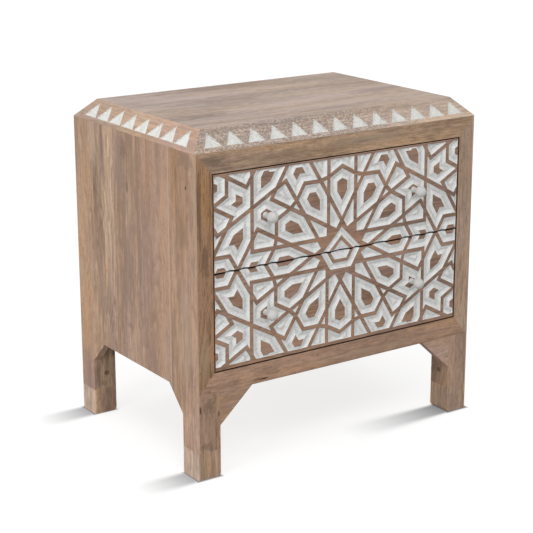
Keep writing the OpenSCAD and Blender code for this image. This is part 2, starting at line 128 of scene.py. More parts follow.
class NightstandStage(bpy.types.PropertyGroup):
    """Camera and light"""
    azimuth: angle_property("Azimuth", "Direction of the view, left of square to the front", 34.3425)
    elevation: angle_property("Elevation", "Downward slope of the view", 15.5772)
    roll: angle_property("Roll", "Turn of the picture", -0.12)
    focal_px: FloatProperty(name="Focal length", description="In pixels of the photograph", default=1505.4)
    eye: FloatVectorProperty(
        name="Eye", description="Place of the camera", default=(-1.5622, -2.2467, 1.0915),
        subtype="TRANSLATION", size=3,
    )
    shift_px: FloatProperty(name="Shift", description="Upward shift of the view, in pixels", default=-20)
    left: power_property("Left light", "Power of the light on the left side", 23)
    upper: power_property("Upper light", "Power of the light above the front", 27)
    right: power_property("Right light", "Power of the low light from the right", 6)
    sky: FloatProperty(name="Sky", description="Strength of the even light all round", default=0.95)
    floor_glow: FloatProperty(name="Floor glow", description="Light that only the camera sees", default=0.735)


# Shader helpers

class Value:
    """A number in a node tree, so that formulas can be written with plain signs."""

    def __init__(self, socket):
        self.socket = socket
        self.tree = socket.id_data

    def __add__(self, other):
        return math("ADD", self, other)

    def __sub__(self, other):
        return math("SUBTRACT", self, other)

    def __rsub__(self, other):
        return math("SUBTRACT", other, self)

    def __mul__(self, other):
        return math("MULTIPLY", self, other)

    def __truediv__(self, other):
        return math("DIVIDE", self, other)

    def __abs__(self):
        return math("ABSOLUTE", self)


def node(tree, kind, **settings):
    made = tree.nodes.new("ShaderNode" + kind)
    for key, value in settings.items():
        setattr(made, key, value)
    return made


def feed(socket, source):
    """Links source to socket if it comes from a node, or sets it as the socket's value."""
    if isinstance(source, Value):
        source = source.socket
    if isinstance(source, bpy.types.NodeSocket):
        socket.id_data.links.new(source, socket)
    elif socket.type == "RGBA":
        socket.default_value = (*source, 1.0)
    else:
        socket.default_value = source


def fill(made, sources):
    """Feeds a node's inputs by their labels or places, and gives the node."""
    for label, source in sources.items():
        feed(made.inputs[label], source)
    return made


def math(operation, *sources, clamp=False):
    tree = next(source.tree for source in sources if isinstance(source, Value))
    made = node(tree, "Math", operation=operation, use_clamp=clamp)
    return Value(fill(made, dict(enumerate(sources))).outputs[0])


def between(value, low, high, start=0.0, end=1.0):
    """value mapped smoothly from low..high to start..end, and held at the ends."""
    made = node(value.tree, "MapRange", interpolation_type="SMOOTHSTEP")
    return Value(fill(made, {0: value, 1: low, 2: high, 3: start, 4: end}).outputs["Result"])


# Places of the colour sockets on a Mix node
MIX_FIRST, MIX_SECOND, MIX_RESULT = 6, 7, 2


def mixed(share, first, second, blend="MIX"):
    made = node(share.tree, "Mix", data_type="RGBA", blend_type=blend)
    return fill(made, {"Factor": share, MIX_FIRST: first, MIX_SECOND: second}).outputs[MIX_RESULT]


def vector_math(operation, first, second):
    made = node(first.id_data, "VectorMath", operation=operation)
    return fill(made, {0: first, 1: second}).outputs[0]


def speckle(place, per_metre, detail=2.0, distortion=0.0):
    """Noise from 0 to 1, with one frequency or its own one along each axis."""
    if not isinstance(per_metre, tuple):
        per_metre = (per_metre,) * 3
    made = fill(node(place.id_data, "TexNoise", noise_dimensions="3D"), {
        "Vector": vector_math("MULTIPLY", place, per_metre),
        "Scale": 1.0,
        "Detail": detail,
        "Distortion": distortion,
    })
    return Value(made.outputs["Fac"])


def bump(height, distance):
    made = node(height.tree, "Bump")
    return fill(made, {"Strength": 1.0, "Distance": distance, "Height": height}).outputs["Normal"]


def object_place(tree):
    return node(tree, "TexCoord").outputs["Object"]


def axis_values(place):
    return [Value(socket) for socket in fill(node(place.id_data, "SeparateXYZ"), {0: place}).outputs]


def combined(values):
    return fill(node(values[0].tree, "CombineXYZ"), dict(enumerate(values))).outputs[0]


# Shader groups

def group_tree(name, inputs, outputs):
    """A shader node group, what it is given by label, and its output node.

    The inputs are label: kind, or label: default for a number, and the outputs label: kind.
    """
    tree = bpy.data.node_groups.new(name, "ShaderNodeTree")
    for label, kind in inputs.items():
        if isinstance(kind, str):
            tree.interface.new_socket(label, in_out="INPUT", socket_type="NodeSocket" + kind)
        else:
            socket = tree.interface.new_socket(label, in_out="INPUT", socket_type="NodeSocketFloat")
            socket.default_value = kind
    for label, kind in outputs.items():
        tree.interface.new_socket(label, in_out="OUTPUT", socket_type="NodeSocket" + kind)
    sockets = tree.nodes.new("NodeGroupInput").outputs
    given = {label: sockets[label] for label in inputs}
    for label, socket in given.items():
        if socket.type == "VALUE":
            given[label] = Value(socket)
    return tree, given, tree.nodes.new("NodeGroupOutput")


def grouped(tree, maker, sources):
    """A node of the shader group from maker, with its inputs fed."""
    return fill(node(tree, "Group", node_tree=maker()), sources)


SURFACE_OUTPUTS = {"Color": "Color", "Roughness": "Float", "Height": "Float"}


@cache
def wood_group():
    """Grain that runs along X: bands, growth lines, dark streaks, fibres and open pores."""
    tree, given, made = group_tree(
        "Wood grain",
        {"Place": "Vector", "Light": "Color", "Dark": "Color", "Streak": "Color", "Board": 0.0,
         "Contrast": 1.0, "Streaks": 0.5, "Figure": 0.5, "Pores": 0.5},
        SURFACE_OUTPUTS,
    )
    # Each board is cut from its own part of the grain
    offset = combined([given["Board"] * step for step in (3.7, 1.3, 2.9)])
    place = vector_math("ADD", given["Place"], offset)
    # Growth lines that wander along the board
    _, y, z = axis_values(place)
    bend = speckle(place, (2.6, 10, 10))
    years = math("FRACT", (y + z) * 95 + bend * 16)
    ring = 0.45 - between(years, 0.1, 1.0, 0.0, 0.9)
    tone = ring * (given["Figure"] * between(bend, 0.44, 0.62))
    # From broad bands to fine fibres
    stripes = speckle(place, (8, 175, 175), distortion=0.5)
    fibres = speckle(place, (45, 480, 480))
    for layer, weight in (
        (speckle(place, (1.7, 13, 13), distortion=0.6), 1.7),
        (speckle(place, (3.2, 58, 58), distortion=0.8), 1.0),
        (stripes, 1.15),
        (fibres, 1.6),
        (speckle(place, (40, 90, 90), distortion=0.6), 0.7),
    ):
        tone = (layer - 0.5) * weight + tone
    tone = math("MULTIPLY_ADD", tone, given["Contrast"], 0.5, clamp=True)
    colour = mixed(tone, given["Dark"], given["Light"])
    # Greyer and yellower parts of the wood
    hue = speckle(place, (3.4, 30, 30), 3.0, 0.8)
    colour = mixed(between(hue, 0.42, 0.66, 0.0, 0.6), colour, (0.94, 0.95, 1.03), "MULTIPLY")
    colour = mixed(between(hue, 0.34, 0.58, 0.7, 0.0), colour, (1.03, 0.97, 0.85), "MULTIPLY")
    # Dark streaks
    streak = between(speckle(place, (5.5, 120, 120), 3.0, 0.8), 0.57, 0.70)
    colour = mixed(streak * given["Streaks"], colour, given["Streak"])
    # Short open pores
    pores = between(speckle(place, (120, 620, 620), 1.0), 0.58, 0.70) * given["Pores"]
    colour = mixed(pores * 0.7, colour, given["Streak"])
    fill(made, {"Color": colour, "Roughness": stripes * 0.25 + 0.45, "Height": fibres * 0.5 - pores})
    return tree


@cache
def patch_group():
    """A soft oval patch with a ragged edge, such as a knot or a dark band."""
    inputs = {"Place": "Vector", "Centre": "Vector", "Size": "Vector", "Ragged": 0.5}
    tree, given, made = group_tree("Soft patch", inputs, {"Mask": "Float"})
    away = vector_math("SUBTRACT", given["Place"], given["Centre"])
    share = vector_math("DIVIDE", away, given["Size"])
    length = Value(fill(node(tree, "VectorMath", operation="LENGTH"), {0: share}).outputs["Value"])
    ragged = (speckle(share, 2.3, 3.0) - 0.5) * given["Ragged"]
    fill(made, {"Mask": between(ragged * 3.0 + length, 0.35, 1.0, 1.0, 0.0)})
    return tree


@cache
def paint_group():
    """Chalky white paint over cut wood: painted shade in the valleys, dust, thin places and tool marks."""
    inputs = {"Place": "Vector", "Paint": "Color", "Wood": "Color", "Wear": 0.3, "Valley shade": 0.0}
    tree, given, made = group_tree("Chalk paint", inputs, SURFACE_OUTPUTS)
    cloud = speckle(given["Place"], 95, 3.0, 0.5)
    grit = speckle(given["Place"], 620)
    marks = speckle(given["Place"], 230, 3.0, 1.0)
    # Painted shade in the valleys, with dust in clouds and along the tool marks
    dust_and_valley_shade = given["Valley shade"] * 0.30 + between(cloud, 0.38, 0.68, 0.0, 0.26)
    dust_and_valley_shade = math("MULTIPLY_ADD", between(marks, 0.42, 0.68), 0.30, dust_and_valley_shade, clamp=True)
    colour = mixed(dust_and_valley_shade, given["Paint"], (0.50, 0.50, 0.475))
    colour = mixed(between(grit, 0.60, 0.74) * given["Wear"], colour, given["Wood"])
    fill(made, {"Color": colour, "Roughness": grit * 0.15 + 0.62, "Height": marks * 1.6 + grit * 0.4})
    return tree


@cache
def triangle_group():
    """Paint of a row of triangles up a slope: it covers the recesses and spills over their edges."""
    inputs = {"Along": 0.0, "Up": 0.0, "Grit": 0.5, "Start": 0.0, "Pitch": 1.0, "Reach": 1.0,
              "Width": 1.0, "Height": 1.0, "Base": 0.0, "Spill": 0.0}
    tree, given, made = group_tree("Painted triangles", inputs, {"Mask": "Float"})
    along, pitch, height = (given[label] for label in ("Along", "Pitch", "Height"))
    turn = math("FRACT", (along - given["Start"]) / pitch)
    local = abs(turn - 0.5) * pitch
    half = given["Width"] * 0.5
    rise = given["Up"] - given["Base"]
    # Distance out from the nearer slanted side, and out below the base
    side = math("SQRT", half * half + height * height)
    out = ((local - half) * height + rise * half) / side
    out = math("MAXIMUM", out, rise * -1.0) - given["Spill"]
    out = (given["Grit"] - 0.5) * (4 * MM) + out
    near = between(out, -0.4 * MM, 0.4 * MM, 1.0, 0.0)
    fill(made, {"Mask": near * math("LESS_THAN", abs(along), given["Reach"])})
    return tree


@cache
def painted_foot_shadow_group():
    """Painted shadow beside a foot: dark against its edges, and a soft wedge that fades along -X."""
    inputs = {"Place": "Vector", "Middle": "Vector", "Length": 0.1, "Strength": 0.8}
    tree, given, made = group_tree("Painted foot shadow", inputs, {"Mask": "Float"})
    x, y, _ = axis_values(vector_math("SUBTRACT", given["Place"], given["Middle"]))
    side = abs(y)
    ahead = math("DIVIDE", HALF_FOOT - x, given["Length"], clamp=True)
    blur = ahead * (30 * MM) + 3 * MM
    wedge = between(side, blur * -0.5 + HALF_FOOT, blur + HALF_FOOT, 1.0, 0.0)
    begins = between(x, HALF_FOOT - 4 * MM, HALF_FOOT + 4 * MM, 1.0, 0.0)
    fade = math("POWER", 1.0 - ahead, 1.3) * begins
    # Painted contact shadow along the foot's bottom edges
    rim = between(math("MAXIMUM", side, abs(x)), HALF_FOOT, HALF_FOOT + 9 * MM, 0.95, 0.0)
    fill(made, {"Mask": math("MAXIMUM", wedge * fade, rim) * given["Strength"]})
    return tree


# Woods and their marks

# Turns that put the grain of a board along X
GRAIN_TURN = {
    "X": (0, 1, 2),
    "Y": (1, 0, 2),
    "Z": (2, 0, 1),
}


class Tone:
    """Light, dark and streak colours of one wood, from its mean colour."""

    def __init__(self, mean, spread=0.2, streak=0.45):
        self.light = tuple(part * (1 + spread) for part in mean)
        self.dark = tuple(part * (1 - spread) for part in mean)
        self.streak = tuple(part * streak for part in mean)


TONE_PARTS = ("Light", "Dark", "Streak")
TAN = Tone((0.50, 0.321, 0.207), 0.18)
OLIVE = Tone((0.455, 0.306, 0.216), 0.34)
GREY = Tone((0.463, 0.312, 0.229), 0.28)
PINK = Tone((0.442, 0.288, 0.209), 0.20)
GOLD = Tone((0.455, 0.293, 0.2), 0.27)
BEIGE = Tone((0.414, 0.317, 0.261), 0.26)
RAIL = Tone((0.392, 0.265, 0.176), 0.34, 0.35)
LOW_RAIL = Tone((0.399, 0.246, 0.162), 0.28, 0.35)
PALE_RAIL = Tone((0.401, 0.282, 0.207), 0.26, 0.4)
STILE = Tone((0.273, 0.158, 0.089), 0.38, 0.3)
LEG = Tone((0.349, 0.222, 0.147), 0.33, 0.35)
PALE_LEG = Tone((0.42, 0.28, 0.197), 0.30, 0.35)
BRACKET = Tone((0.455, 0.295, 0.203), 0.24)
PALE_BRACKET = Tone((0.43, 0.291, 0.223), 0.24)
CHALKY = Tone((0.51, 0.40, 0.327), 0.22, 0.42)
ORANGE = Tone((0.48, 0.333, 0.238), 0.22, 0.6)
FOOT = Tone((0.48, 0.322, 0.212), 0.28)
INNER = Tone((0.54, 0.40, 0.26), 0.12, 0.6)
PLUG = Tone((0.21, 0.14, 0.095), 0.2, 0.4)
# Colour of the painted shade in the gaps round the drawer fronts
PAINTED_GAP_SHADE = (0.02, 0.013, 0.009)
# Colour of the highlight painted along the side panels' front edges
PAINTED_EDGE_HIGHLIGHT = (0.52, 0.38, 0.28)
WOOD_CONTRAST = 1.15
WOOD_PORES = 0.6


# Half size of a mark along an axis that it runs right through, and the strength of a tinting mark
THROUGH = 1000
TINT = None
# Faces for marks, as an axis and a level on it in millimetres
LEFT = (0, -305)
FRONT = (1, -197)
TOP = (2, 610)


class Mark:
    """A knot, a dark band, a pale patch, or painted light and shade on a face: colour, strength, centre and
    half sizes in millimetres.

    One of strength TINT multiplies the wood's colour, so that its grain stays.
    """

    def __init__(self, colour, strength, centre, size, ragged):
        self.colour = colour
        self.strength = 1.0 if strength is TINT else strength
        self.blend = "MULTIPLY" if strength is TINT else "MIX"
        self.centre = Vector(centre) * MM
        self.size = Vector(size) * MM
        self.ragged = ragged


def face_marks(face, rows):
    """Marks on a face, from rows of colour, strength, place and half sizes on it, and raggedness."""
    axis, level = face
    marks = []
    for colour, strength, first, second, half_first, half_second, ragged in rows:
        centre = [first, second]
        centre.insert(axis, level)
        size = [half_first, half_second]
        size.insert(axis, THROUGH)
        marks.append(Mark(colour, strength, centre, size, ragged))
    return marks


class TriangleRow:
    """A row of triangular recesses on a slope, in millimetres, and how far their paint spills over."""

    def __init__(self, count, width, height, pitch, tip_gap, spill):
        self.values = {
            "Start": 0.0 if count % 2 == 0 else -pitch * MM / 2,
            "Pitch": pitch * MM,
            "Reach": count * pitch * MM / 2,
            "Width": width * MM,
            "Height": height * MM,
            "Base": SLOPE_LENGTH - (tip_gap + height) * MM,
            "Spill": spill * MM,
        }


FRONT_TRIANGLES = TriangleRow(13, 33, 27, 43.8, 10, 0.7)
SIDE_TRIANGLES = TriangleRow(8, 40, 30, 45.1, 7, 0.5)
TOOL_PITCH = 6.6 * MM


# Materials

def new_material(name):
    material = bpy.data.materials.new(name)
    material.use_nodes = True
    shader = material.node_tree.nodes["Principled BSDF"]
    shader.inputs["Specular IOR Level"].default_value = 0.3
    return material, material.node_tree, shader


def surface(shader, colour, roughness, height, depth):
    """Feeds colour, roughness and a fine relief of that depth to a shader."""
    fill(shader, {"Base Color": colour, "Roughness": roughness, "Normal": bump(height, depth)})


def stepped(factor, stops):
    """A ramp that holds each colour from its own position on."""
    ramp = fill(node(factor.tree, "ValToRGB"), {"Fac": factor})
    ramp.color_ramp.interpolation = "CONSTANT"
    elements = ramp.color_ramp.elements
    while len(elements) > 1:
        elements.remove(elements[-1])
    for index, (position, colour) in enumerate(stops):
        element = elements[0] if index == 0 else elements.new(position)
        element.position = position
        element.color = (*colour, 1.0)
    return ramp.outputs["Color"]


def marked(colour, place, marks):
    """The colour with knots, bands and patches laid over it."""
    for mark in marks:
        patch = grouped(place.id_data, patch_group, {
            "Place": place, "Centre": mark.centre, "Size": mark.size, "Ragged": mark.ragged,
        })
        share = Value(patch.outputs["Mask"]) * mark.strength
        colour = mixed(share, colour, mark.colour, mark.blend)
    return colour


class WoodSurface:
    """Wood of one board as (number, tone), or of boards side by side as (start, tone) across an axis."""

    def __init__(self, tree, grain, boards, across=None, span=(0.0, 1.0), streaks=0.4, figure=0.5,
                 marks=(), joint=0.4):
        self.place = object_place(tree)
        self.values = axis_values(self.place)
        wood = grouped(tree, wood_group, {
            "Place": combined([self.values[axis] for axis in GRAIN_TURN[grain]]),
            "Contrast": WOOD_CONTRAST, "Streaks": streaks, "Figure": figure, "Pores": WOOD_PORES,
        })
        colour = wood.outputs["Color"]
        if across is None:
            number, tone = boards[0]
            fill(wood, {"Board": number, **{part: getattr(tone, part.lower()) for part in TONE_PARTS}})
        else:
            low, high = span
            side_value = self.values["XYZ".index(across)]
            share = (side_value - low) / (high - low)
            starts = [(start - low) / (high - low) for start, _ in boards]
            for part in TONE_PARTS:
                colours = [getattr(tone, part.lower()) for _, tone in boards]
                feed(wood.inputs[part], stepped(share, zip(starts, colours)))
            numbers = [(index / 10,) * 3 for index in range(len(boards))]
            feed(wood.inputs["Board"], stepped(share, zip(starts, numbers)))
            for start, tone in boards[1:]:
                seam = between(abs(side_value - start), 0.3 * MM, 1.1 * MM, joint, 0.0)
                colour = mixed(seam, colour, tone.streak)
        self.color = marked(colour, self.place, marks)
        self.roughness = wood.outputs["Roughness"]
        self.height = Value(wood.outputs["Height"])


def wood_material(name, grain, boards, lit_edge=None, dark_behind=None, gap_shade_before=None, **choices):
    """A finished board: wood colour, satin sheen and open grain.

    lit_edge is a depth up to which the front edge gets a painted highlight, dark_behind one past which it
    gets painted shade as in a gap, and gap_shade_before one up to which it gets painted shade that fades
    deeper in.
    """
    material, tree, shader = new_material(name)
    wood = WoodSurface(tree, grain, boards, **choices)
    colour = wood.color
    depth = wood.values[1]
    # Painted highlight along the front edge
    if lit_edge is not None:
        painted_highlight = between(depth, lit_edge - 2 * MM, lit_edge + 3 * MM, 0.35, 0.0)
        colour = mixed(painted_highlight, colour, PAINTED_EDGE_HIGHLIGHT)
    # Painted shade on faces that lie in the gaps behind the front
    if dark_behind is not None:
        colour = mixed(between(depth, dark_behind, dark_behind + 1 * MM, 0.0, 0.9), colour, PAINTED_GAP_SHADE)
    # Painted shade on edges in the gaps, darkest near the front face
    if gap_shade_before is not None:
        colour = mixed(between(depth, gap_shade_before, gap_shade_before + 6 * MM, 0.95, 0.25), colour, PAINTED_GAP_SHADE)
    surface(shader, colour, wood.roughness, wood.height, bpy.context.scene.nightstand_finish.grain_depth)
    return material


def paint_surface(tree, paint, wood_colour, wear, valley_shade):
    """Outputs of the paint group, for wood that shows where the paint is worn."""
    return grouped(tree, paint_group, {
        "Place": object_place(tree), "Paint": paint, "Wood": wood_colour, "Wear": wear, "Valley shade": valley_shade,
    }).outputs


def paint_material(name, paint, wood_colour, wear, mark_depth, valley_shade_from=None):
    """Paint on its own, for the knobs, and for the grooves with painted shade in their depth."""
    material, tree, shader = new_material(name)
    valley_shade = 0.0
    # Painted shade that deepens towards the grooves' valleys
    if valley_shade_from is not None:
        depth = axis_values(object_place(tree))[1]
        valley_shade = between(depth, valley_shade_from + 2.2 * MM, valley_shade_from + 4.3 * MM)
    coat = paint_surface(tree, paint, wood_colour, wear, valley_shade)
    surface(shader, coat["Color"], coat["Roughness"], Value(coat["Height"]), mark_depth)
    return material


def slope_material(name, grain, tone, triangles, foot, inward, stipple=None, ribs=0.0, **choices):
    """Wood of a sloped edge piece, with white paint in its triangular recesses.

    The slope rises from foot towards the inward side, 1 or -1 along the axis across its grain. stipple
    says between which places along X a pecked surface fades, and ribs how strong the tool marks are.
    """
    material, tree, shader = new_material(name)
    wood = WoodSurface(tree, grain, [(0.0, tone)], **choices)
    along_axis = "XY".index(grain)
    along = wood.values[along_axis]
    inward = (wood.values[1 - along_axis] - foot) * inward
    row = grouped(tree, triangle_group, {
        "Along": along - MIDDLE[along_axis],
        "Up": (inward + (wood.values[2] - SLOPE_FOOT)) / sqrt(2),
        "Grit": speckle(wood.place, 420),
        **triangles.values,
    })
    recess = Value(row.outputs["Mask"])
    colour = wood.color
    rough = wood.height
    if stipple is not None:
        # A pecked surface that gets smoother towards one end
        strength = between(wood.values[0], *stipple, 1.0, 0.25)
        dots = between(speckle(wood.place, 330, 1.0), 0.42, 0.60)
        colour = mixed(dots * (strength * 0.7), colour, tone.streak)
        rough = dots * strength * -2.0 + rough
    # Tool marks cross the recesses at a slant, as bumps with painted shade in their valleys
    slant = along + wood.values[2] * sqrt(2)
    wave = math("SINE", slant * (2 * pi / TOOL_PITCH)) * 0.5 + 0.5
    finish = bpy.context.scene.nightstand_finish
    paint = paint_surface(tree, tuple(finish.edge_paint), tone.dark, 0.12, wave * ribs)
    colour = mixed(recess, colour, paint["Color"])
    rough = rough + (wave * (-3.0 * ribs) + paint["Height"]) * recess
    surface(shader, colour, wood.roughness, rough, finish.grain_depth)
    return material


def steel_material():
    material, tree, shader = new_material("Zinc plated steel")
    haze = speckle(object_place(tree), 900)
    fill(shader, {
        "Metallic": 1.0,
        "Base Color": mixed(haze, (0.52, 0.52, 0.54), (0.68, 0.68, 0.70)),
        "Roughness": between(haze, 0.3, 0.7, 0.28, 0.42),
    })
    return material


# Dressing the boards

EDGE_STEPS = 2
SHARP = radians(35)


def dress(name, material, rounding=None):
    """Gives a CAD node its material and, where asked, eased edges."""
    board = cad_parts[name]
    board.data.materials.clear()
    board.data.materials.append(material)
    if rounding:
        eased = board.modifiers.new("Eased edges", "BEVEL")
        eased.width = rounding
        eased.segments = EDGE_STEPS
        eased.limit_method = "ANGLE"
        eased.angle_limit = SHARP
        eased.use_clamp_overlap = True


def new_object(name, bm, materials):
    """An object made of the mesh in bm, which is freed."""
    mesh = bpy.data.meshes.new(name)
    bm.to_mesh(mesh)
    bm.free()
    for material in materials:
        mesh.materials.append(material)
    made = bpy.data.objects.new(name, mesh)
    bpy.context.scene.collection.objects.link(made)
    return made


# Carving

# Differences in metres that count as none: in sums, between points, and between a point and the border
TINY = 1e-9
NEAR = 1e-6
ON_BORDER = 1e-5
# Points of the relief nearer than MERGE become one, and so do ends of its lines nearer than END_MERGE
MERGE = 0.02 * MM
END_MERGE = 0.4 * MM
SMALLEST_CELL = 1 * MM * MM
# An outline that folds back on itself by this much can't move inward
FOLDED = 1e-4
# A distance inward that no outline reaches
FAR = 1.0
# How far the upright pairs of lines run on
RUN_ON = 20 * MM
# What the triangulation gives back: the cells between the lines, or the triangles inside the loops
CLOSED_CELLS = 3
FILLED_LOOPS = 1


def turned(along, across, degrees):
    """A point that lies along and across a direction, turned by that many degrees."""
    angle = radians(degrees)
    return Vector((along * cos(angle) - across * sin(angle), along * sin(angle) + across * cos(angle)))


def rosette_lines(carving):
    """The lines of one twelve-fold rosette round the origin, up to its neighbours."""
    gap = carving.half_gap
    reach = carving.spacing * cos(pi / 6) / 2
    straight = carving.spacing / 2 - gap
    shoulder = carving.tip - gap * tan(pi / 6)
    lines = []
    for k in range(12):
        angle = 30 * k
        for side in (-1, 1):
            corner = turned(reach, side * gap, angle)
            if k < 6:
                lines.append((corner, turned(-reach, side * gap, angle)))
            if k % 2 == 0:
                lines.append((corner, turned(reach, side * straight, angle)))
            else:
                lines.append((corner, turned(carving.spacing / 2, 0, angle + side * 30)))
            lines.append((turned(carving.tip, 0, angle), turned(shoulder, side * gap, angle)))
        lines.append((turned(shoulder, gap, angle), turned(shoulder, -gap, angle + 30)))
    # The upright pairs run on past the boards' edges, so that no sliver opens beside them
    for angle in (90, 270):
        for side in (-1, 1):
            lines.append((turned(reach, side * gap, angle), turned(reach + RUN_ON, side * gap, angle)))
    hexagon = carving.spacing * (1 / sqrt(3) - 0.5)
    for k in range(6):
        middle = turned(carving.spacing / sqrt(3), 0, 60 * k)
        for j in range(6):
            start = middle + turned(hexagon, 0, 60 * (k + j))
            lines.append((start, middle + turned(hexagon, 0, 60 * (k + j + 1))))
    return lines


def carving_lines(carving):
    """One rosette and its six neighbours."""
    own = rosette_lines(carving)
    middles = [Vector((0, 0))] + [turned(carving.spacing, 0, 30 + 60 * k) for k in range(6)]
    return [(start + middle, end + middle) for middle in middles for start, end in own]


def with_ends_met(lines):
    """The same lines, with ends that nearly meet brought to one point."""
    met = []

    def settled(end):
        for point in met:
            if (end - point).length < END_MERGE:
                return point
        met.append(end)
        return end

    return [(settled(start), settled(end)) for start, end in lines]


def signed_area(ring):
    return sum(a.x * b.y - b.x * a.y for a, b in zip(ring, ring[1:] + ring[:1])) / 2


def cells_inside(lines, low, high):
    """The cells that the lines cut a rectangle into, each as points in anticlockwise order."""
    corners = [Vector(low), Vector((high[0], low[1])), Vector(high), Vector((low[0], high[1]))]
    border = list(zip(corners, corners[1:] + corners[:1]))
    points = [point for line in lines + border for point in line]
    edges = [(index, index + 1) for index in range(0, len(points), 2)]
    places, _, faces, *_ = delaunay_2d_cdt(points, edges, [], CLOSED_CELLS, MERGE)
    cells = []
    for face in faces:
        ring = [places[index] for index in face]
        inside = all(
            low[0] - NEAR <= p.x <= high[0] + NEAR and low[1] - NEAR <= p.y <= high[1] + NEAR
            for p in ring
        )
        area = signed_area(ring)
        if inside and abs(area) > SMALLEST_CELL:
            cells.append(ring if area > 0 else ring[::-1])
    return cells


def first_meeting(points, ways, normals, speeds):
    """When a hollow corner first meets an edge across from it, as (distance, corner, edge)."""
    count = len(points)
    soonest = (inf, None, None)
    for i in range(count):
        if ways[i - 1].cross(ways[i]) > -NEAR:
            continue
        for j in range(count):
            after = (j + 1) % count
            if i in (j, after):
                continue
            closing = 1 - speeds[i].dot(normals[j])
            apart = (points[i] - points[j]).dot(normals[j])
            if closing < NEAR or not 0 < apart / closing < soonest[0]:
                continue
            distance = apart / closing
            met = points[i] + speeds[i] * distance
            past_start = (met - points[j] - speeds[j] * distance).dot(ways[j])
            past_end = (met - points[after] - speeds[after] * distance).dot(ways[j])
            if past_start >= 0 >= past_end:
                soonest = (distance, i, j)
    return soonest


def move_inward(points, ways, reach):
    """Moves an outline inward by reach, or less if an edge vanishes or the outline parts on the way.

    Gives the distance, the moved points and the (corner, edge) that part it or None. Gives None if the
    outline can't move.
    """
    count = len(points)
    if count < 3:
        return None
    normals = [Vector((-way.y, way.x)) for way in ways]
    speeds = []
    for i in range(count):
        lean = 1 + normals[i - 1].dot(normals[i])
        if lean < FOLDED:
            return None
        speeds.append((normals[i - 1] + normals[i]) / lean)
    step = reach
    for i in range(count):
        j = (i + 1) % count
        closing = (speeds[i] - speeds[j]).dot(ways[i])
        length = (points[j] - points[i]).dot(ways[i])
        if closing > TINY and length / closing < step:
            step = max(length / closing, 0.0)
    meeting, corner, edge = first_meeting(points, ways, normals, speeds)
    parts = meeting < step - MERGE
    if parts:
        step = meeting
    moved = [points[i] + speeds[i] * step for i in range(count)]
    return step, moved, (corner, edge) if parts else None


def without_lost_edges(moved, ways):
    """The points and ways left where edges have shrunk to nothing, and each old point's place among them."""
    count = len(moved)
    keep = [(moved[(i + 1) % count] - moved[i]).length > 2 * NEAR for i in range(count)]
    if not any(keep):
        return [sum(moved, Vector((0, 0))) / count], [], [0] * count
    start = next(i for i in range(count) if keep[i - 1])
    link = [0] * count
    points = []
    left_ways = []
    for offset in range(count):
        i = (start + offset) % count
        if keep[i - 1]:
            points.append(moved[i])
        link[i] = len(points) - 1
        if keep[i]:
            left_ways.append(ways[i])
    return points, left_ways, link


def run_of(first, last, count):
    """Places first to last round a ring of count points."""
    return [(first + k) % count for k in range((last - first) % count + 1)]


# Places of the carved fronts' materials
WOOD_FACE, PAINT_FACE, EDGE_FACE, RIM_FACE = range(4)


def depth_at(distance, section):
    """Depth below the bands at a distance inward from a cell's outline.

    A section is rows of (distance, depth, finish), as in groove_section.
    """
    for (near, high, _), (far, low, _) in zip(section, section[1:]):
        if distance <= far + TINY:
            share = (distance - near) / (far - near)
            return high + (low - high) * min(max(share, 0.0), 1.0)
    return section[-1][1]


def finish_at(distance, section):
    """Finish of the strip that a distance inward from a cell's outline lies in."""
    return next((finish for far, _, finish in section if far > distance), section[-1][2])


def carve_cell(bm, ring, section, raise_point):
    """Adds one cell's relief: rings step inward and down the section, and what is left is filled."""
    points = [Vector(p) for p in ring]
    ways = [(after - point).normalized() for point, after in zip(points, points[1:] + points[:1])]
    waiting = [(0.0, points, ways, [bm.verts.new(raise_point(p, 0.0)) for p in points])]
    while waiting:
        distance, points, ways, before = waiting.pop()
        stops = [stop for stop, *_ in section[:-1] if stop > distance + TINY]
        moved = move_inward(points, ways, stops[0] - distance) if stops else None
        if moved is None:
            if len(points) > 2:
                bm.faces.new(before).material_index = finish_at(distance + TINY, section)
            continue
        step, places, meeting = moved
        finish = finish_at(distance + step / 2, section)
        distance += step
        depth = depth_at(distance, section)
        points, ways, link = without_lost_edges(places, ways)
        after = [bm.verts.new(raise_point(p, depth)) for p in points]
        for i in range(len(before)):
            j = (i + 1) % len(before)
            loop = [before[i], before[j], after[link[j]], after[link[i]]]
            if meeting and meeting[1] == i:
                loop.insert(3, after[link[meeting[0]]])
            unique = [v for index, v in enumerate(loop) if v not in loop[:index]]
            if len(unique) > 2:
                bm.faces.new(unique).material_index = finish
        if meeting is None:
            waiting.append((distance, points, ways, after))
            continue
        # The outline parts in two where the corner touches the edge
        corner, edge = (link[place] for place in meeting)
        count = len(points)
        for run, way in (
            ([corner] + run_of((edge + 1) % count, (corner - 1) % count, count), 0),
            (run_of(corner, edge, count), -1),
        ):
            part_ways = [ways[place] for place in run]
            part_ways[way] = ways[edge]
            waiting.append((distance, [points[k] for k in run], part_ways, [after[k] for k in run]))


def groove_section(carving):
    """Half a band, a V groove with rims that are worn and darkened as painted shade, and the island that is
    left.

    Each row is a distance inward, the depth there and the finish of the strip up to it.
    """
    rim = carving.rim
    start = carving.band / 2
    end = start + carving.groove
    return [
        (0.0, 0.0, WOOD_FACE),
        (start - rim / 2, 0.0, WOOD_FACE),
        (start + rim / 2, 0.4 * MM, RIM_FACE),
        (start + rim, 1.3 * MM, PAINT_FACE),
        ((start + end) / 2, carving.depth, PAINT_FACE),
        (end - rim, 1.1 * MM, PAINT_FACE),
        (end - rim / 2, 0.4 * MM, PAINT_FACE),
        (end, 0.0, RIM_FACE),
        (FAR, 0.0, WOOD_FACE),
    ]


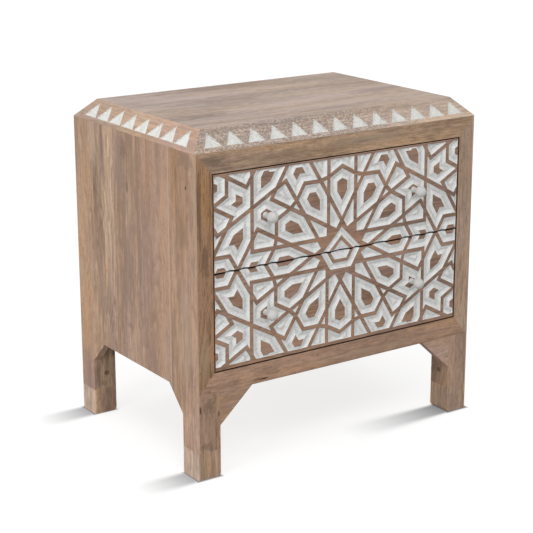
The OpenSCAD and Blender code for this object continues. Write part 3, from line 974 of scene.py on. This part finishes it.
def motif_section(carving):
    """The middle motif: a white groove, a natural band and a white pit."""
    depth = carving.depth
    return [
        (0.0, 0.0, RIM_FACE),
        (0.7 * MM, 1.3 * MM, PAINT_FACE),
        (5.9 * MM, depth * 0.85, PAINT_FACE),
        (11.1 * MM, 1.2 * MM, PAINT_FACE),
        (11.8 * MM, 0.0, RIM_FACE),
        (16.6 * MM, 0.0, WOOD_FACE),
        (17.3 * MM, 1.2 * MM, RIM_FACE),
        (30.0 * MM, depth, PAINT_FACE),
        (FAR, depth, PAINT_FACE),
    ]


def field_faces(bm, outline, motif, raise_point):
    """The plain wood between the star's middle and the motif."""
    points = outline + motif
    loops = [list(range(len(outline))), list(range(len(outline), len(points)))]
    places, _, faces, _, _, owners = delaunay_2d_cdt(points, [], loops, FILLED_LOOPS, NEAR)
    verts = [bm.verts.new(raise_point(p, 0.0)) for p in places]
    for face, owner in zip(faces, owners):
        if 1 not in owner:
            bm.faces.new([verts[index] for index in face]).material_index = WOOD_FACE


def cut_outside(bm, low, high):
    """Removes what lies outside a rectangle, given as (x, z) corners."""
    for point, outward in (
        ((low[0], 0, 0), (-1, 0, 0)), ((high[0], 0, 0), (1, 0, 0)),
        ((0, 0, low[1]), (0, 0, -1)), ((0, 0, high[1]), (0, 0, 1)),
    ):
        bmesh.ops.bisect_plane(
            bm, geom=bm.verts[:] + bm.edges[:] + bm.faces[:], dist=1e-7, plane_co=point, plane_no=outward,
            clear_outer=True,
        )


def border_of(bm):
    return [edge for edge in bm.edges if edge.is_boundary]


def drawn_out(bm, finish):
    """Draws new faces with that finish out of the border, and gives their verts, edges and faces."""
    made = bmesh.ops.extrude_edge_only(bm, edges=border_of(bm))["geom"]
    kinds = (bmesh.types.BMVert, bmesh.types.BMEdge, bmesh.types.BMFace)
    verts, edges, faces = ([item for item in made if isinstance(item, kind)] for kind in kinds)
    for face in faces:
        face.material_index = finish
    return verts, edges, faces


def wall_up(bm, face_y):
    """Walls from the cut border of the relief up to the board's face."""
    verts, *_ = drawn_out(bm, PAINT_FACE)
    for vert in verts:
        vert.co.y = face_y
    bmesh.ops.remove_doubles(bm, verts=bm.verts, dist=MERGE)


def widen_border(bm, low, high, width):
    """Plain wood round the carved rectangle, drawn out from its border."""
    verts, *_ = drawn_out(bm, WOOD_FACE)
    for vert in verts:
        for axis, index in ((0, 0), (2, 1)):
            if abs(vert.co[axis] - low[index]) < ON_BORDER:
                vert.co[axis] -= width
            elif abs(vert.co[axis] - high[index]) < ON_BORDER:
                vert.co[axis] += width


def close_back(bm, spill, back):
    """The board's back, and its edges straight back from the relief, with a lip of paint at the grooves."""
    border = set(border_of(bm))
    verts, _, faces = drawn_out(bm, EDGE_FACE)
    for vert in verts:
        vert.co.y += spill
    for face in faces:
        start = next(edge for edge in face.edges if edge in border)
        if any(other.material_index == PAINT_FACE for other in start.link_faces if other != face):
            face.material_index = PAINT_FACE
    verts, edges, _ = drawn_out(bm, EDGE_FACE)
    for vert in verts:
        vert.co.y = back
    filled = bmesh.ops.holes_fill(bm, edges=[edge for edge in edges if edge.is_boundary], sides=0)
    for face in filled["faces"]:
        face.material_index = EDGE_FACE


# The middle motif's corners, in millimetres from the rosette's middle
MOTIF = ((0, 42), (-43, -1), (-23, -34), (23, -34), (43, -1))
# How far the carved rectangle runs past the split, and the plain wood past the carved rectangle
PAST_SPLIT = 30 * MM
PLAIN_WIDTH = 40 * MM
# The noise that lets the cut lines stray: its seed, how fine it is, and where each front lies in it
WANDER_SEED = 3
WANDER_PER_METRE = 28
UPPER_START = Vector((0, 7, 0))
LOWER_START = Vector((0, 3, 0))
DEPTH_WANDER = 0.6


def carved_front(name, replaced, body, upper, materials):
    """A drawer front: the pattern's relief on a solid board the size of the CAD node."""
    carving = bpy.context.scene.nightstand_carving
    low, high = (Vector(corner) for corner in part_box(replaced))
    shift_x = carving.middle_x - (0 if upper else carving.lower_left)
    shift_z = carving.middle_z - (carving.upper_drop if upper else 0)

    def to_front(p):
        return Vector((shift_x + p.x, shift_z + carving.squeeze * p.y))

    def raise_point(p, depth):
        return Vector((p.x, low.y + depth, p.y))

    middle = to_front(Vector((0, 0)))
    # The carved rectangle runs past the split, and the pattern past the rectangle
    strip = carving.side_strip
    field_low = (low.x + strip, low.z - PAST_SPLIT if upper else low.z + carving.bottom_strip)
    field_high = (high.x - strip, high.z - carving.top_strip if upper else high.z + PAST_SPLIT)
    cells_low = (field_low[0] - carving.side_overrun, field_low[1] - carving.overrun)
    cells_high = (field_high[0] + carving.side_overrun, field_high[1] + carving.overrun)
    lines = with_ends_met([(to_front(start), to_front(end)) for start, end in carving_lines(carving)])
    outer_point = carving.half_gap / sin(pi / 6)
    inner_point = carving.half_gap / sin(pi / 4)
    bm = bmesh.new()
    for cell in cells_inside(lines, cells_low, cells_high):
        radii = [((p.x - middle.x) ** 2 + ((p.y - middle.y) / carving.squeeze) ** 2) ** 0.5 for p in cell]
        # The star's middle has the motif instead
        if max(radii) >= outer_point + 1 * MM:
            carve_cell(bm, cell, groove_section(carving), raise_point)
    star = [to_front(turned(inner_point if k % 2 else outer_point, 0, 15 * k)) for k in range(24)]
    motif = [Vector((middle.x + x * MM, carving.middle_z + z * MM)) for x, z in MOTIF]
    field_faces(bm, star, motif, raise_point)
    carve_cell(bm, motif, motif_section(carving), raise_point)
    bmesh.ops.remove_doubles(bm, verts=bm.verts, dist=MERGE)
    bmesh.ops.triangulate(bm, faces=bm.faces, quad_method="BEAUTY", ngon_method="EAR_CLIP")
    cut_outside(bm, field_low, field_high)
    wall_up(bm, low.y)
    widen_border(bm, field_low, field_high, PLAIN_WIDTH)
    noise.seed_set(WANDER_SEED)
    for vert in bm.verts:
        drift = noise.noise_vector(vert.co * WANDER_PER_METRE + (UPPER_START if upper else LOWER_START))
        inside = low.y + NEAR < vert.co.y
        vert.co.x += drift.x * carving.wander
        vert.co.z += drift.z * carving.wander
        if inside:
            vert.co.y += drift.y * carving.wander * DEPTH_WANDER
    edge = carving.edge_ease
    bottom = low.z + (carving.split_ease if upper else edge)
    top = high.z - (edge if upper else carving.split_ease)
    cut_outside(bm, (low.x + edge, bottom), (high.x - edge, top))
    close_back(bm, carving.spill, high.y)
    bmesh.ops.recalc_face_normals(bm, faces=bm.faces)
    front = new_object(name, bm, materials)
    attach(front, body)
    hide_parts(replaced)


def carved_materials():
    """Materials of the carved fronts in the order of their faces: bands, grooves, edges and rims."""
    finish = bpy.context.scene.nightstand_finish
    band = tuple(finish.band)
    tone = Tone(band, 0.30, 0.4)
    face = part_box("upper_drawer_front")[0][1]
    return (
        wood_material("Carved bands", "X", [(0.4, tone)], streaks=0.3, figure=0.4, marks=BAND_MARKS),
        paint_material("Painted grooves", tuple(finish.paint), band, 0.12, 0.35 * MM, face),
        # The drawers' edges get painted shade near the front, where they face the gaps
        wood_material("Drawer edges", "X", [(0.5, tone)], streaks=0.3, figure=0.4, gap_shade_before=face + 7 * MM),
        # The rims: worn wood, darkened further as painted shade where the bands' walls fall away
        paint_material("Worn and shaded rims", (0.20, 0.125, 0.085), (0.09, 0.055, 0.035), 1.0, 0.25 * MM),
    )


# Knobs

# Radius of the stem as a share of the ball's, and its flare at distances in millimetres from the front
STEM_SHARE = 0.46
STEM_PROFILE = ((1.25, 0.0), (1.2, 0.5), (1.04, 1.4), (1.0, 3.2))
# Where the ball begins, as an angle from its axis
NECK_ANGLE = 0.52
BALL_STEPS = 18
KNOB_SIDES = 40


def turned_knob(name, replaced, body, material):
    """A turned knob: a flared foot, a short stem and a ball."""
    low, high = (Vector(corner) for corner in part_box(replaced))
    reach = high.y - low.y
    ball = (high.x - low.x) / 2
    stem = ball * STEM_SHARE
    profile = [(stem * flare, along * MM) for flare, along in STEM_PROFILE]
    for i in range(BALL_STEPS + 1):
        angle = NECK_ANGLE + (pi - NECK_ANGLE) * i / BALL_STEPS
        profile.append((ball * sin(angle), reach - ball - ball * cos(angle)))
    bm = bmesh.new()
    middle = (low + high) / 2
    rings = []
    for radius, along in profile:
        y = high.y - along
        ring = []
        for k in range(KNOB_SIDES):
            angle = 2 * pi * k / KNOB_SIDES
            ring.append(bm.verts.new((middle.x + radius * cos(angle), y, middle.z + radius * sin(angle))))
        rings.append(ring)
    for inner, outer in zip(rings, rings[1:]):
        for k in range(KNOB_SIDES):
            m = (k + 1) % KNOB_SIDES
            bm.faces.new((inner[k], inner[m], outer[m], outer[k]))
    bm.faces.new(rings[0])
    bmesh.ops.remove_doubles(bm, verts=bm.verts, dist=NEAR)
    bmesh.ops.recalc_face_normals(bm, faces=bm.faces)
    for face in bm.faces:
        face.smooth = True
    knob = new_object(name, bm, [material])
    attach(knob, body)
    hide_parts(replaced)


# Marks of the woods, and painted light and shade on the legs and feet

BAND_MARKS = (
    Mark((0.62, 0.42, 0.32), 0.8, (0, -196, 539), (THROUGH, THROUGH, 2.2), 0.1),
)
LEFT_SIDE_MARKS = face_marks(LEFT, (
    ((1.19, 1.24, 1.22), TINT, 102, 440, 27, 230, 0.3),
    ((0.54, 0.39, 0.27), 0.65, 155, 545, 12, 80, 0.3),
    ((0.75, 0.74, 0.75), TINT, 148, 390, 28, 160, 0.4),
    ((0.33, 0.23, 0.17), 0.65, 138, 250, 22, 90, 0.5),
    ((0.26, 0.18, 0.13), 0.6, 122, 545, 8, 70, 0.4),
    ((0.28, 0.19, 0.13), 0.5, 112, 245, 12, 42, 0.35),
    ((0.31, 0.22, 0.18), 0.6, 62, 510, 20, 80, 0.5),
    ((0.22, 0.15, 0.11), 0.6, 42, 545, 16, 26, 0.6),
    ((0.20, 0.13, 0.095), 0.7, 30, 478, 5, 14, 0.35),
    ((0.52, 0.36, 0.25), 0.55, 22, 455, 9, 50, 0.35),
    ((0.30, 0.205, 0.15), 0.55, 36, 320, 26, 90, 0.6),
    ((0.22, 0.15, 0.11), 0.45, 31, 221, 12, 7, 0.35),
    ((0.39, 0.28, 0.20), 0.6, 107, 262, 15, 46, 0.15),
    ((0.12, 0.05, 0.03), 0.65, 87, 252, 3.5, 16, 0.35),
    ((0.56, 0.41, 0.31), 0.6, -112, 400, 3.5, THROUGH, 0.1),
    ((0.54, 0.36, 0.27), 0.55, -163, 498, 12, 34, 0.35),
    ((0.07, 0.04, 0.03), 0.9, -169, 516, 3.2, 5, 0.35),
    ((0.30, 0.21, 0.16), 0.6, -168, 560, 34, 20, 0.5),
    ((0.32, 0.22, 0.15), 0.45, -150, 430, 24, 40, 0.7),
    ((0.50, 0.36, 0.26), 0.5, -160, 250, 30, 110, 0.6),
    ((0.86, 0.82, 0.76), TINT, -150, 520, 45, 190, 0.3),
    ((0.80, 0.82, 0.97), TINT, 206, 70, 40, 75, 0.4),
    ((1.18, 1.20, 1.27), TINT, -175, 60, 45, 80, 0.4),
)) + [Mark((0.62, 0.63, 0.62), TINT, (-296, 178, 80), (8, 5, 36), 0.2)]
TOP_MARKS = face_marks(TOP, (
    ((0.66, 0.64, 0.62), TINT, -215, -62, 110, 24, 0.7),
    ((0.72, 0.68, 0.64), TINT, -95, 45, 150, 20, 0.7),
    ((0.80, 0.74, 0.68), TINT, -30, 168, 190, 26, 0.7),
    ((0.78, 0.75, 0.73), TINT, 215, -25, 100, 26, 0.7),
    (BEIGE.light, 0.5, 60, -90, 200, 18, 0.5),
    (BEIGE.light, 0.45, -150, 100, 120, 20, 0.5),
))
TOP_RAIL_MARKS = face_marks(FRONT, (
    (RAIL.streak, 0.5, -268, 560, 34, 14, 0.5),
    ((0.45, 0.32, 0.20), 0.6, -205, 551, 40, 5, 0.6),
    ((0.30, 0.14, 0.07), 0.6, -151, 568, 7, 4, 0.35),
    (RAIL.dark, 0.6, -120, 556, 60, 8, 0.5),
    ((0.40, 0.30, 0.21), 0.5, 60, 562, 120, 9, 0.6),
))
BOTTOM_RAIL_MARKS = face_marks(FRONT, (
    ((0.03, 0.018, 0.012), 0.95, -168, 160.5, 13, 2.2, 0.3),
    ((0.22, 0.11, 0.06), 0.7, -180, 162, 14, 4, 0.5),
    (RAIL.streak, 0.4, -160, 172, 40, 9, 0.6),
    (RAIL.streak, 0.35, -231, 168, 18, 8, 0.6),
    ((0.06, 0.04, 0.03), 0.8, -280, 159, 2, 2, 0.35),
    ((0.40, 0.29, 0.20), 0.5, 60, 166, 160, 8, 0.6),
))
STILE_MARKS = face_marks(FRONT, (
    ((1.14, 1.08, 0.85), TINT, -284, 500, 11, 75, 0.5),
    (STILE.streak, 0.6, -297, 480, 7, 90, 0.6),
    (STILE.streak, 0.5, -286, 390, 10, 40, 0.6),
    ((0.30, 0.15, 0.08), 0.5, -288, 245, 3, 8, 0.35),
    ((0.38, 0.27, 0.18), 0.6, -288, 220, 12, 60, 0.5),
))
# The first mark is painted light: it lifts the front face of the left back leg, in the shade under the case;
# the others are dark spots, streaks and a patch of the wood
LEG_MARKS_AND_PAINTED_LIGHT = [Mark((1.46, 1.58, 1.63), TINT, (-282, 178, 70), (60, 8, 90), 0.1)] + face_marks(FRONT, (
    ((0.05, 0.03, 0.02), 0.85, -300, 129, 4, 9, 0.35),
    ((0.06, 0.035, 0.025), 0.7, -262, 116, 3, 7, 0.35),
    (RAIL.streak, 0.5, -280, 132, 16, 20, 0.6),
    (RAIL.streak, 0.45, -290, 60, 16, 9, 0.5),
    ((0.38, 0.27, 0.18), 0.5, -275, 85, 8, 30, 0.5),
))
RIGHT_STILE_MARKS = (
    Mark((0.90, 0.87, 0.80), TINT, (287, -197, 560), (THROUGH, THROUGH, 240), 0.2),
)
# Painted light and shade on the feet: the left feet's outer faces lighter, as lit, and the right feet and the
# left back foot's front face darker, as shaded
FOOT_PAINTED_LIGHT_AND_SHADE = (
    Mark((0.86, 0.88, 0.95), TINT, (285, -197, 20), (60, THROUGH, 60), 0.1),
    Mark((1.33, 1.47, 1.72), TINT, (-305, 0, 20), (6.5, THROUGH, 60), 0.05),
    Mark((0.80, 0.79, 0.92), TINT, (-275, 178, 20), (28, 8, 60), 0.1),
)
FRONT_SLOPE_MARKS = (
    Mark((0.86, 0.86, 0.88), TINT, (0, -167, 608), (THROUGH, THROUGH, 9), 0.2),
)
LEFT_SLOPE_MARKS = (
    Mark((1.13, 1.09, 1.15), TINT, (-290, -150, 590), (THROUGH, 150, THROUGH), 0.4),
    Mark((0.85, 0.86, 0.87), TINT, (-290, 180, 590), (THROUGH, 170, THROUGH), 0.4),
)
# Painted shadow of each foot on the floor: middle of the foot, length and strength of the shadow
PAINTED_FOOT_SHADOWS = (
    ((0.2835, -0.1755), 0.28, 0.97),
    ((-0.2835, -0.1755), 0.17, 0.95),
    ((-0.2835, 0.2035), 0.17, 0.95),
)


# Operators

def finish_boards(names, rounding, title, grain, boards, **choices):
    """Dresses CAD nodes in one wood, made of one board as (number, tone) or of several side by side."""
    material = wood_material(title, grain, boards, **choices)
    for name in names:
        dress(name, material, rounding)


class NightstandCaseBoards(bpy.types.Operator):
    """Finish the side panels, the top, the frame, the legs and the boards behind them"""
    bl_idname = "nightstand.case_boards"
    bl_label = "Case Boards"

    def execute(self, context):
        ease = context.scene.nightstand_finish.edge_round
        front = CASE_LOW.y
        # Both side panels get a painted highlight along their front edges
        side = {"across": "Y", "span": (CASE_LOW.y, CASE_HIGH.y), "lit_edge": front + 4 * MM, "joint": 0.2}
        staves = [(front, GOLD), (-0.114, PINK), (-0.022, GREY), (0.078, OLIVE), (0.178, TAN)]
        finish_boards(["left_side_panel"], ease, "Left side staves", "Z", staves, streaks=0.15,
                      marks=LEFT_SIDE_MARKS, **side)
        staves = [(front, PINK), (-0.13, TAN), (-0.04, OLIVE), (0.05, GREY), (0.14, GOLD)]
        finish_boards(["right_side_panel"], ease, "Right side staves", "Z", staves, streaks=0.2, **side)
        staves = [(CASE_LOW.x + 0.15 * place, tone) for place, tone in enumerate((GREY, TAN, GREY, PINK))]
        finish_boards(["back_panel"], ease, "Back staves", "Z", staves, across="X",
                      span=(CASE_LOW.x, CASE_HIGH.x), streaks=0.4)
        boards = [(TOP_LOW.y + step * MM, BEIGE) for step in (0, 92, 190, 285)]
        finish_boards(["top_panel"], ease, "Top boards", "X", boards, across="Y",
                      span=(TOP_LOW.y, TOP_HIGH.y), streaks=0.2, figure=0.5, marks=TOP_MARKS, joint=0.12)
        # The frame's faces behind this depth get painted gap shade
        inside = front + 0.4 * MM
        for name, title, grain, board, streaks, figure, marks in (
            ("front_top_rail", "Top rail", "X", (0.1, RAIL), 0.35, 0.5, TOP_RAIL_MARKS),
            ("front_bottom_rail", "Bottom rail", "X", (0.15, LOW_RAIL), 0.3, 0.5, BOTTOM_RAIL_MARKS),
            ("left_stile", "Left stile", "Z", (0.3, STILE), 0.6, 0.8, STILE_MARKS),
            ("right_stile", "Right stile", "Z", (0.35, PALE_RAIL), 0.4, 0.5, RIGHT_STILE_MARKS),
        ):
            finish_boards([name], ease, title, grain, [board], streaks=streaks, figure=figure,
                          dark_behind=inside, marks=marks)
        for side, leg_tone, bracket_tone in (("left", LEG, BRACKET), ("right", PALE_LEG, PALE_BRACKET)):
            legs = [f"{side}_front_leg_face", f"{side}_front_leg_block", f"{side}_back_leg_block"]
            finish_boards(legs, ease, f"{side.capitalize()} legs", "Z", [(0.5, leg_tone)], streaks=0.35,
                          marks=LEG_MARKS_AND_PAINTED_LIGHT)
            finish_boards([f"{side}_bracket"], ease, f"{side.capitalize()} bracket", "X",
                          [(0.6, bracket_tone)], streaks=0.25)
        feet = [f"{side}_{end}_foot" for side in ("left", "right") for end in ("front", "back")]
        finish_boards(feet, 2 * ease, "Feet", "Z", [(0.7, FOOT)], streaks=0.25, marks=FOOT_PAINTED_LIGHT_AND_SHADE)
        finish_boards(["leg_plugs"], None, "Wood plugs", "Z", [(0.9, PLUG)], streaks=0.3)
        inner = wood_material("Inner boards", "Y", [(0.2, INNER)], streaks=0.3)
        dress("bottom_panel", inner, ease)
        for side in ("left", "right"):
            for name in (f"{side}_cleat", f"upper_{side}_runner", f"lower_{side}_runner"):
                dress(name, inner)
        return {"FINISHED"}


class NightstandSlopedEdge(bpy.types.Operator):
    """Finish the four sloped edge pieces of the top and paint their triangles"""
    bl_idname = "nightstand.sloped_edge"
    bl_label = "Sloped Edge"

    def execute(self, context):
        ease = context.scene.nightstand_finish.edge_round
        front = slope_material("Front slope", "X", CHALKY, FRONT_TRIANGLES, CASE_LOW.y, 1,
                               stipple=(-0.05, 0.26), ribs=1.2, streaks=0.2, marks=FRONT_SLOPE_MARKS)
        left = slope_material("Left slope", "Y", ORANGE, SIDE_TRIANGLES, CASE_LOW.x, 1, ribs=0.3,
                              streaks=0.1, figure=0.4, marks=LEFT_SLOPE_MARKS)
        right = slope_material("Right slope", "Y", ORANGE, SIDE_TRIANGLES, CASE_HIGH.x, -1, ribs=0.15,
                               streaks=0.1, figure=0.4)
        back = wood_material("Back slope", "X", [(0.8, GREY)], streaks=0.4)
        for side, material in (("front", front), ("left", left), ("right", right), ("back", back)):
            dress(f"{side}_edge_piece", material, ease)
        return {"FINISHED"}


class NightstandCarvedFronts(bpy.types.Operator):
    """Carve and paint the two drawer fronts"""
    bl_idname = "nightstand.carved_fronts"
    bl_label = "Carved Fronts"

    def execute(self, context):
        materials = carved_materials()
        carved_front("upper_carved_front", "upper_drawer_front", "upper_drawer", True, materials)
        carved_front("lower_carved_front", "lower_drawer_front", "lower_drawer", False, materials)
        return {"FINISHED"}


class NightstandDrawerBoxes(bpy.types.Operator):
    """Finish the boards of the drawer boxes"""
    bl_idname = "nightstand.drawer_boxes"
    bl_label = "Drawer Boxes"

    def execute(self, context):
        ease = context.scene.nightstand_finish.edge_round
        sides, ends, bottoms = (
            [f"{drawer}_box_{part}" for drawer in ("upper", "lower") for part in parts]
            for parts in (("left", "right"), ("front", "back"), ("bottom",))
        )
        finish_boards(sides, ease, "Box sides", "Y", [(0.35, INNER)], streaks=0.3)
        finish_boards(ends, ease, "Box ends", "X", [(0.45, INNER)], streaks=0.3)
        finish_boards(bottoms, None, "Box bottoms", "X", [(0.55, INNER)], streaks=0.15, figure=0.8)
        return {"FINISHED"}


class NightstandKnobs(bpy.types.Operator):
    """Turn and paint the four knobs"""
    bl_idname = "nightstand.knobs"
    bl_label = "Knobs"

    def execute(self, context):
        paint = paint_material("Painted knobs", (0.615, 0.612, 0.594), INNER.light, 0.12, 0.5 * MM)
        for drawer in ("upper", "lower"):
            for side in ("left", "right"):
                name = f"{drawer}_{side}"
                turned_knob(f"{name}_turned_knob", f"{name}_knob", f"{drawer}_drawer", paint)
        return {"FINISHED"}


class NightstandScrews(bpy.types.Operator):
    """Finish the screws"""
    bl_idname = "nightstand.screws"
    bl_label = "Screws"

    def execute(self, context):
        steel = steel_material()
        for place in ("leg", "cleat", "runner", "upper_knob", "lower_knob"):
            dress(f"{place}_screws", steel)
        return {"FINISHED"}


# Stage

FLOOR_REACH = 30
SENSOR_WIDTH = 36
LIGHT_AIM = (MIDDLE.x, MIDDLE.y, 0.33)
# Colour of the shadows painted beside the feet
PAINTED_SHADOW_COLOUR = (0.06, 0.06, 0.065)
FLOOR_SEEN = (0.36, 0.36, 0.36)
FLOOR_BOUNCE = (0.45, 0.45, 0.45)


def bare_tree(owner):
    """The emptied node tree of a material or world."""
    owner.use_nodes = True
    owner.node_tree.nodes.clear()
    return owner.node_tree


def mixed_shaders(tree, share, first, second):
    return fill(node(tree, "MixShader"), {0: share, 1: first.outputs[0], 2: second.outputs[0]}).outputs[0]


def soft_light(name, power, place, aim, width):
    lamp = bpy.data.lights.new(name, "AREA")
    lamp.shape = "DISK"
    lamp.size = width
    lamp.energy = power
    light = bpy.data.objects.new(name, lamp)
    light.location = place
    light.rotation_euler = (Vector(aim) - Vector(place)).to_track_quat("-Z", "Y").to_euler()
    bpy.context.scene.collection.objects.link(light)


def floor_material(stage):
    """A pale floor: the camera sees it near white, it keeps the shadows, and a shadow is painted beside each
    foot.
    """
    material = bpy.data.materials.new("Pale floor")
    tree = bare_tree(material)
    place = object_place(tree)
    light = 1.0
    # Painted shadows beside the feet darken both the floor's colour and its glow
    for (x, y), length, strength in PAINTED_FOOT_SHADOWS:
        shade = grouped(tree, painted_foot_shadow_group, {
            "Place": place, "Middle": (x, y, 0), "Length": length, "Strength": strength,
        })
        light = (1.0 - Value(shade.outputs["Mask"])) * light
    seen = fill(node(tree, "BsdfDiffuse"), {"Color": mixed(light, PAINTED_SHADOW_COLOUR, FLOOR_SEEN)})
    glow = fill(node(tree, "Emission"), {
        "Color": mixed(light, PAINTED_SHADOW_COLOUR, (1.0, 1.0, 1.0)), "Strength": stage.floor_glow,
    })
    lit = fill(node(tree, "AddShader"), {0: seen.outputs[0], 1: glow.outputs[0]})
    dull = fill(node(tree, "BsdfDiffuse"), {"Color": FLOOR_BOUNCE})
    direct = node(tree, "LightPath").outputs["Is Camera Ray"]
    fill(node(tree, "OutputMaterial"), {"Surface": mixed_shaders(tree, direct, dull, lit)})
    return material


def studio_world(stage):
    """Even light, stronger from above, in front of a white background."""
    world = bpy.data.worlds.new("Studio")
    tree = bare_tree(world)
    up = axis_values(node(tree, "TexCoord").outputs["Generated"])[2]
    strength = between(up, -0.1, 0.9, 0.8 * stage.sky, 1.1 * stage.sky)
    sky = fill(node(tree, "Background"), {"Strength": strength})
    white = fill(node(tree, "Background"), {"Color": (1.0, 1.0, 1.0), "Strength": 1.0})
    path = node(tree, "LightPath").outputs
    plain = math("MAXIMUM", Value(path["Is Camera Ray"]), path["Is Glossy Ray"])
    plain = math("MAXIMUM", plain, path["Is Transmission Ray"])
    fill(node(tree, "OutputWorld"), {"Surface": mixed_shaders(tree, plain, sky, white)})
    return world


def photo_camera(stage):
    """The camera of the photograph, with its fitted place, direction and lens."""
    lens = bpy.data.cameras.new("photo_camera")
    lens.sensor_fit = "HORIZONTAL"
    lens.sensor_width = SENSOR_WIDTH
    lens.lens = stage.focal_px * SENSOR_WIDTH / PHOTO_SIDE
    lens.shift_y = stage.shift_px / PHOTO_SIDE
    lens.clip_end = 100
    camera = bpy.data.objects.new("photo_camera", lens)
    bpy.context.scene.collection.objects.link(camera)
    ahead = cos(stage.elevation)
    forward = Vector((sin(stage.azimuth) * ahead, cos(stage.azimuth) * ahead, -sin(stage.elevation)))
    turn = forward.to_track_quat("-Z", "Y").to_matrix() @ Matrix.Rotation(stage.roll, 3, "Z")
    camera.matrix_world = Matrix.Translation(stage.eye) @ turn.to_4x4()
    return camera


class NightstandSetStage(bpy.types.Operator):
    """Set the floor, the light and the camera"""
    bl_idname = "nightstand.set_stage"
    bl_label = "Stage"

    def execute(self, context):
        scene = context.scene
        stage = scene.nightstand_stage
        scene.view_settings.view_transform = "Standard"
        bm = bmesh.new()
        bmesh.ops.create_grid(bm, x_segments=1, y_segments=1, size=FLOOR_REACH)
        floor = new_object("floor", bm, [floor_material(stage)])
        scene.world = studio_world(stage)
        soft_light("left_light", stage.left, (-3.1, -1.0, 1.25), LIGHT_AIM, 1.0)
        soft_light("upper_light", stage.upper, (-1.2, -2.1, 2.7), LIGHT_AIM, 1.2)
        soft_light("right_light", stage.right, (2.6, 0.5, 0.9), (0.25, -0.2, 0.05), 0.35)
        scene.camera = photo_camera(stage)
        return {"FINISHED"}


class NightstandPanel(bpy.types.Panel):
    """Lists the steps in the sidebar"""
    bl_idname = "NIGHTSTAND_PT_steps"
    bl_label = "Nightstand"
    bl_space_type = "VIEW_3D"
    bl_region_type = "UI"
    bl_category = "Nightstand"

    def draw(self, context):
        for step in STEPS:
            self.layout.operator(step.bl_idname)
        for group_name in SETTINGS:
            settings = getattr(context.scene, group_name)
            box = self.layout.box()
            for key in settings.__annotations__:
                box.prop(settings, key)


SETTINGS = {
    "nightstand_carving": NightstandCarving,
    "nightstand_finish": NightstandFinish,
    "nightstand_stage": NightstandStage,
}
STEPS = (
    NightstandSetStage, NightstandCaseBoards, NightstandSlopedEdge, NightstandCarvedFronts,
    NightstandDrawerBoxes, NightstandKnobs, NightstandScrews,
)


def register():
    for kind in (*SETTINGS.values(), *STEPS, NightstandPanel):
        bpy.utils.register_class(kind)
    for name, kind in SETTINGS.items():
        setattr(bpy.types.Scene, name, PointerProperty(type=kind))


def unregister():
    for name in SETTINGS:
        delattr(bpy.types.Scene, name)
    for kind in reversed((*SETTINGS.values(), *STEPS, NightstandPanel)):
        bpy.utils.unregister_class(kind)


def main():
    register()
    for step in STEPS:
        area, name = step.bl_idname.split(".")
        getattr(getattr(bpy.ops, area), name)()


if __name__ == "__main__":
    main()
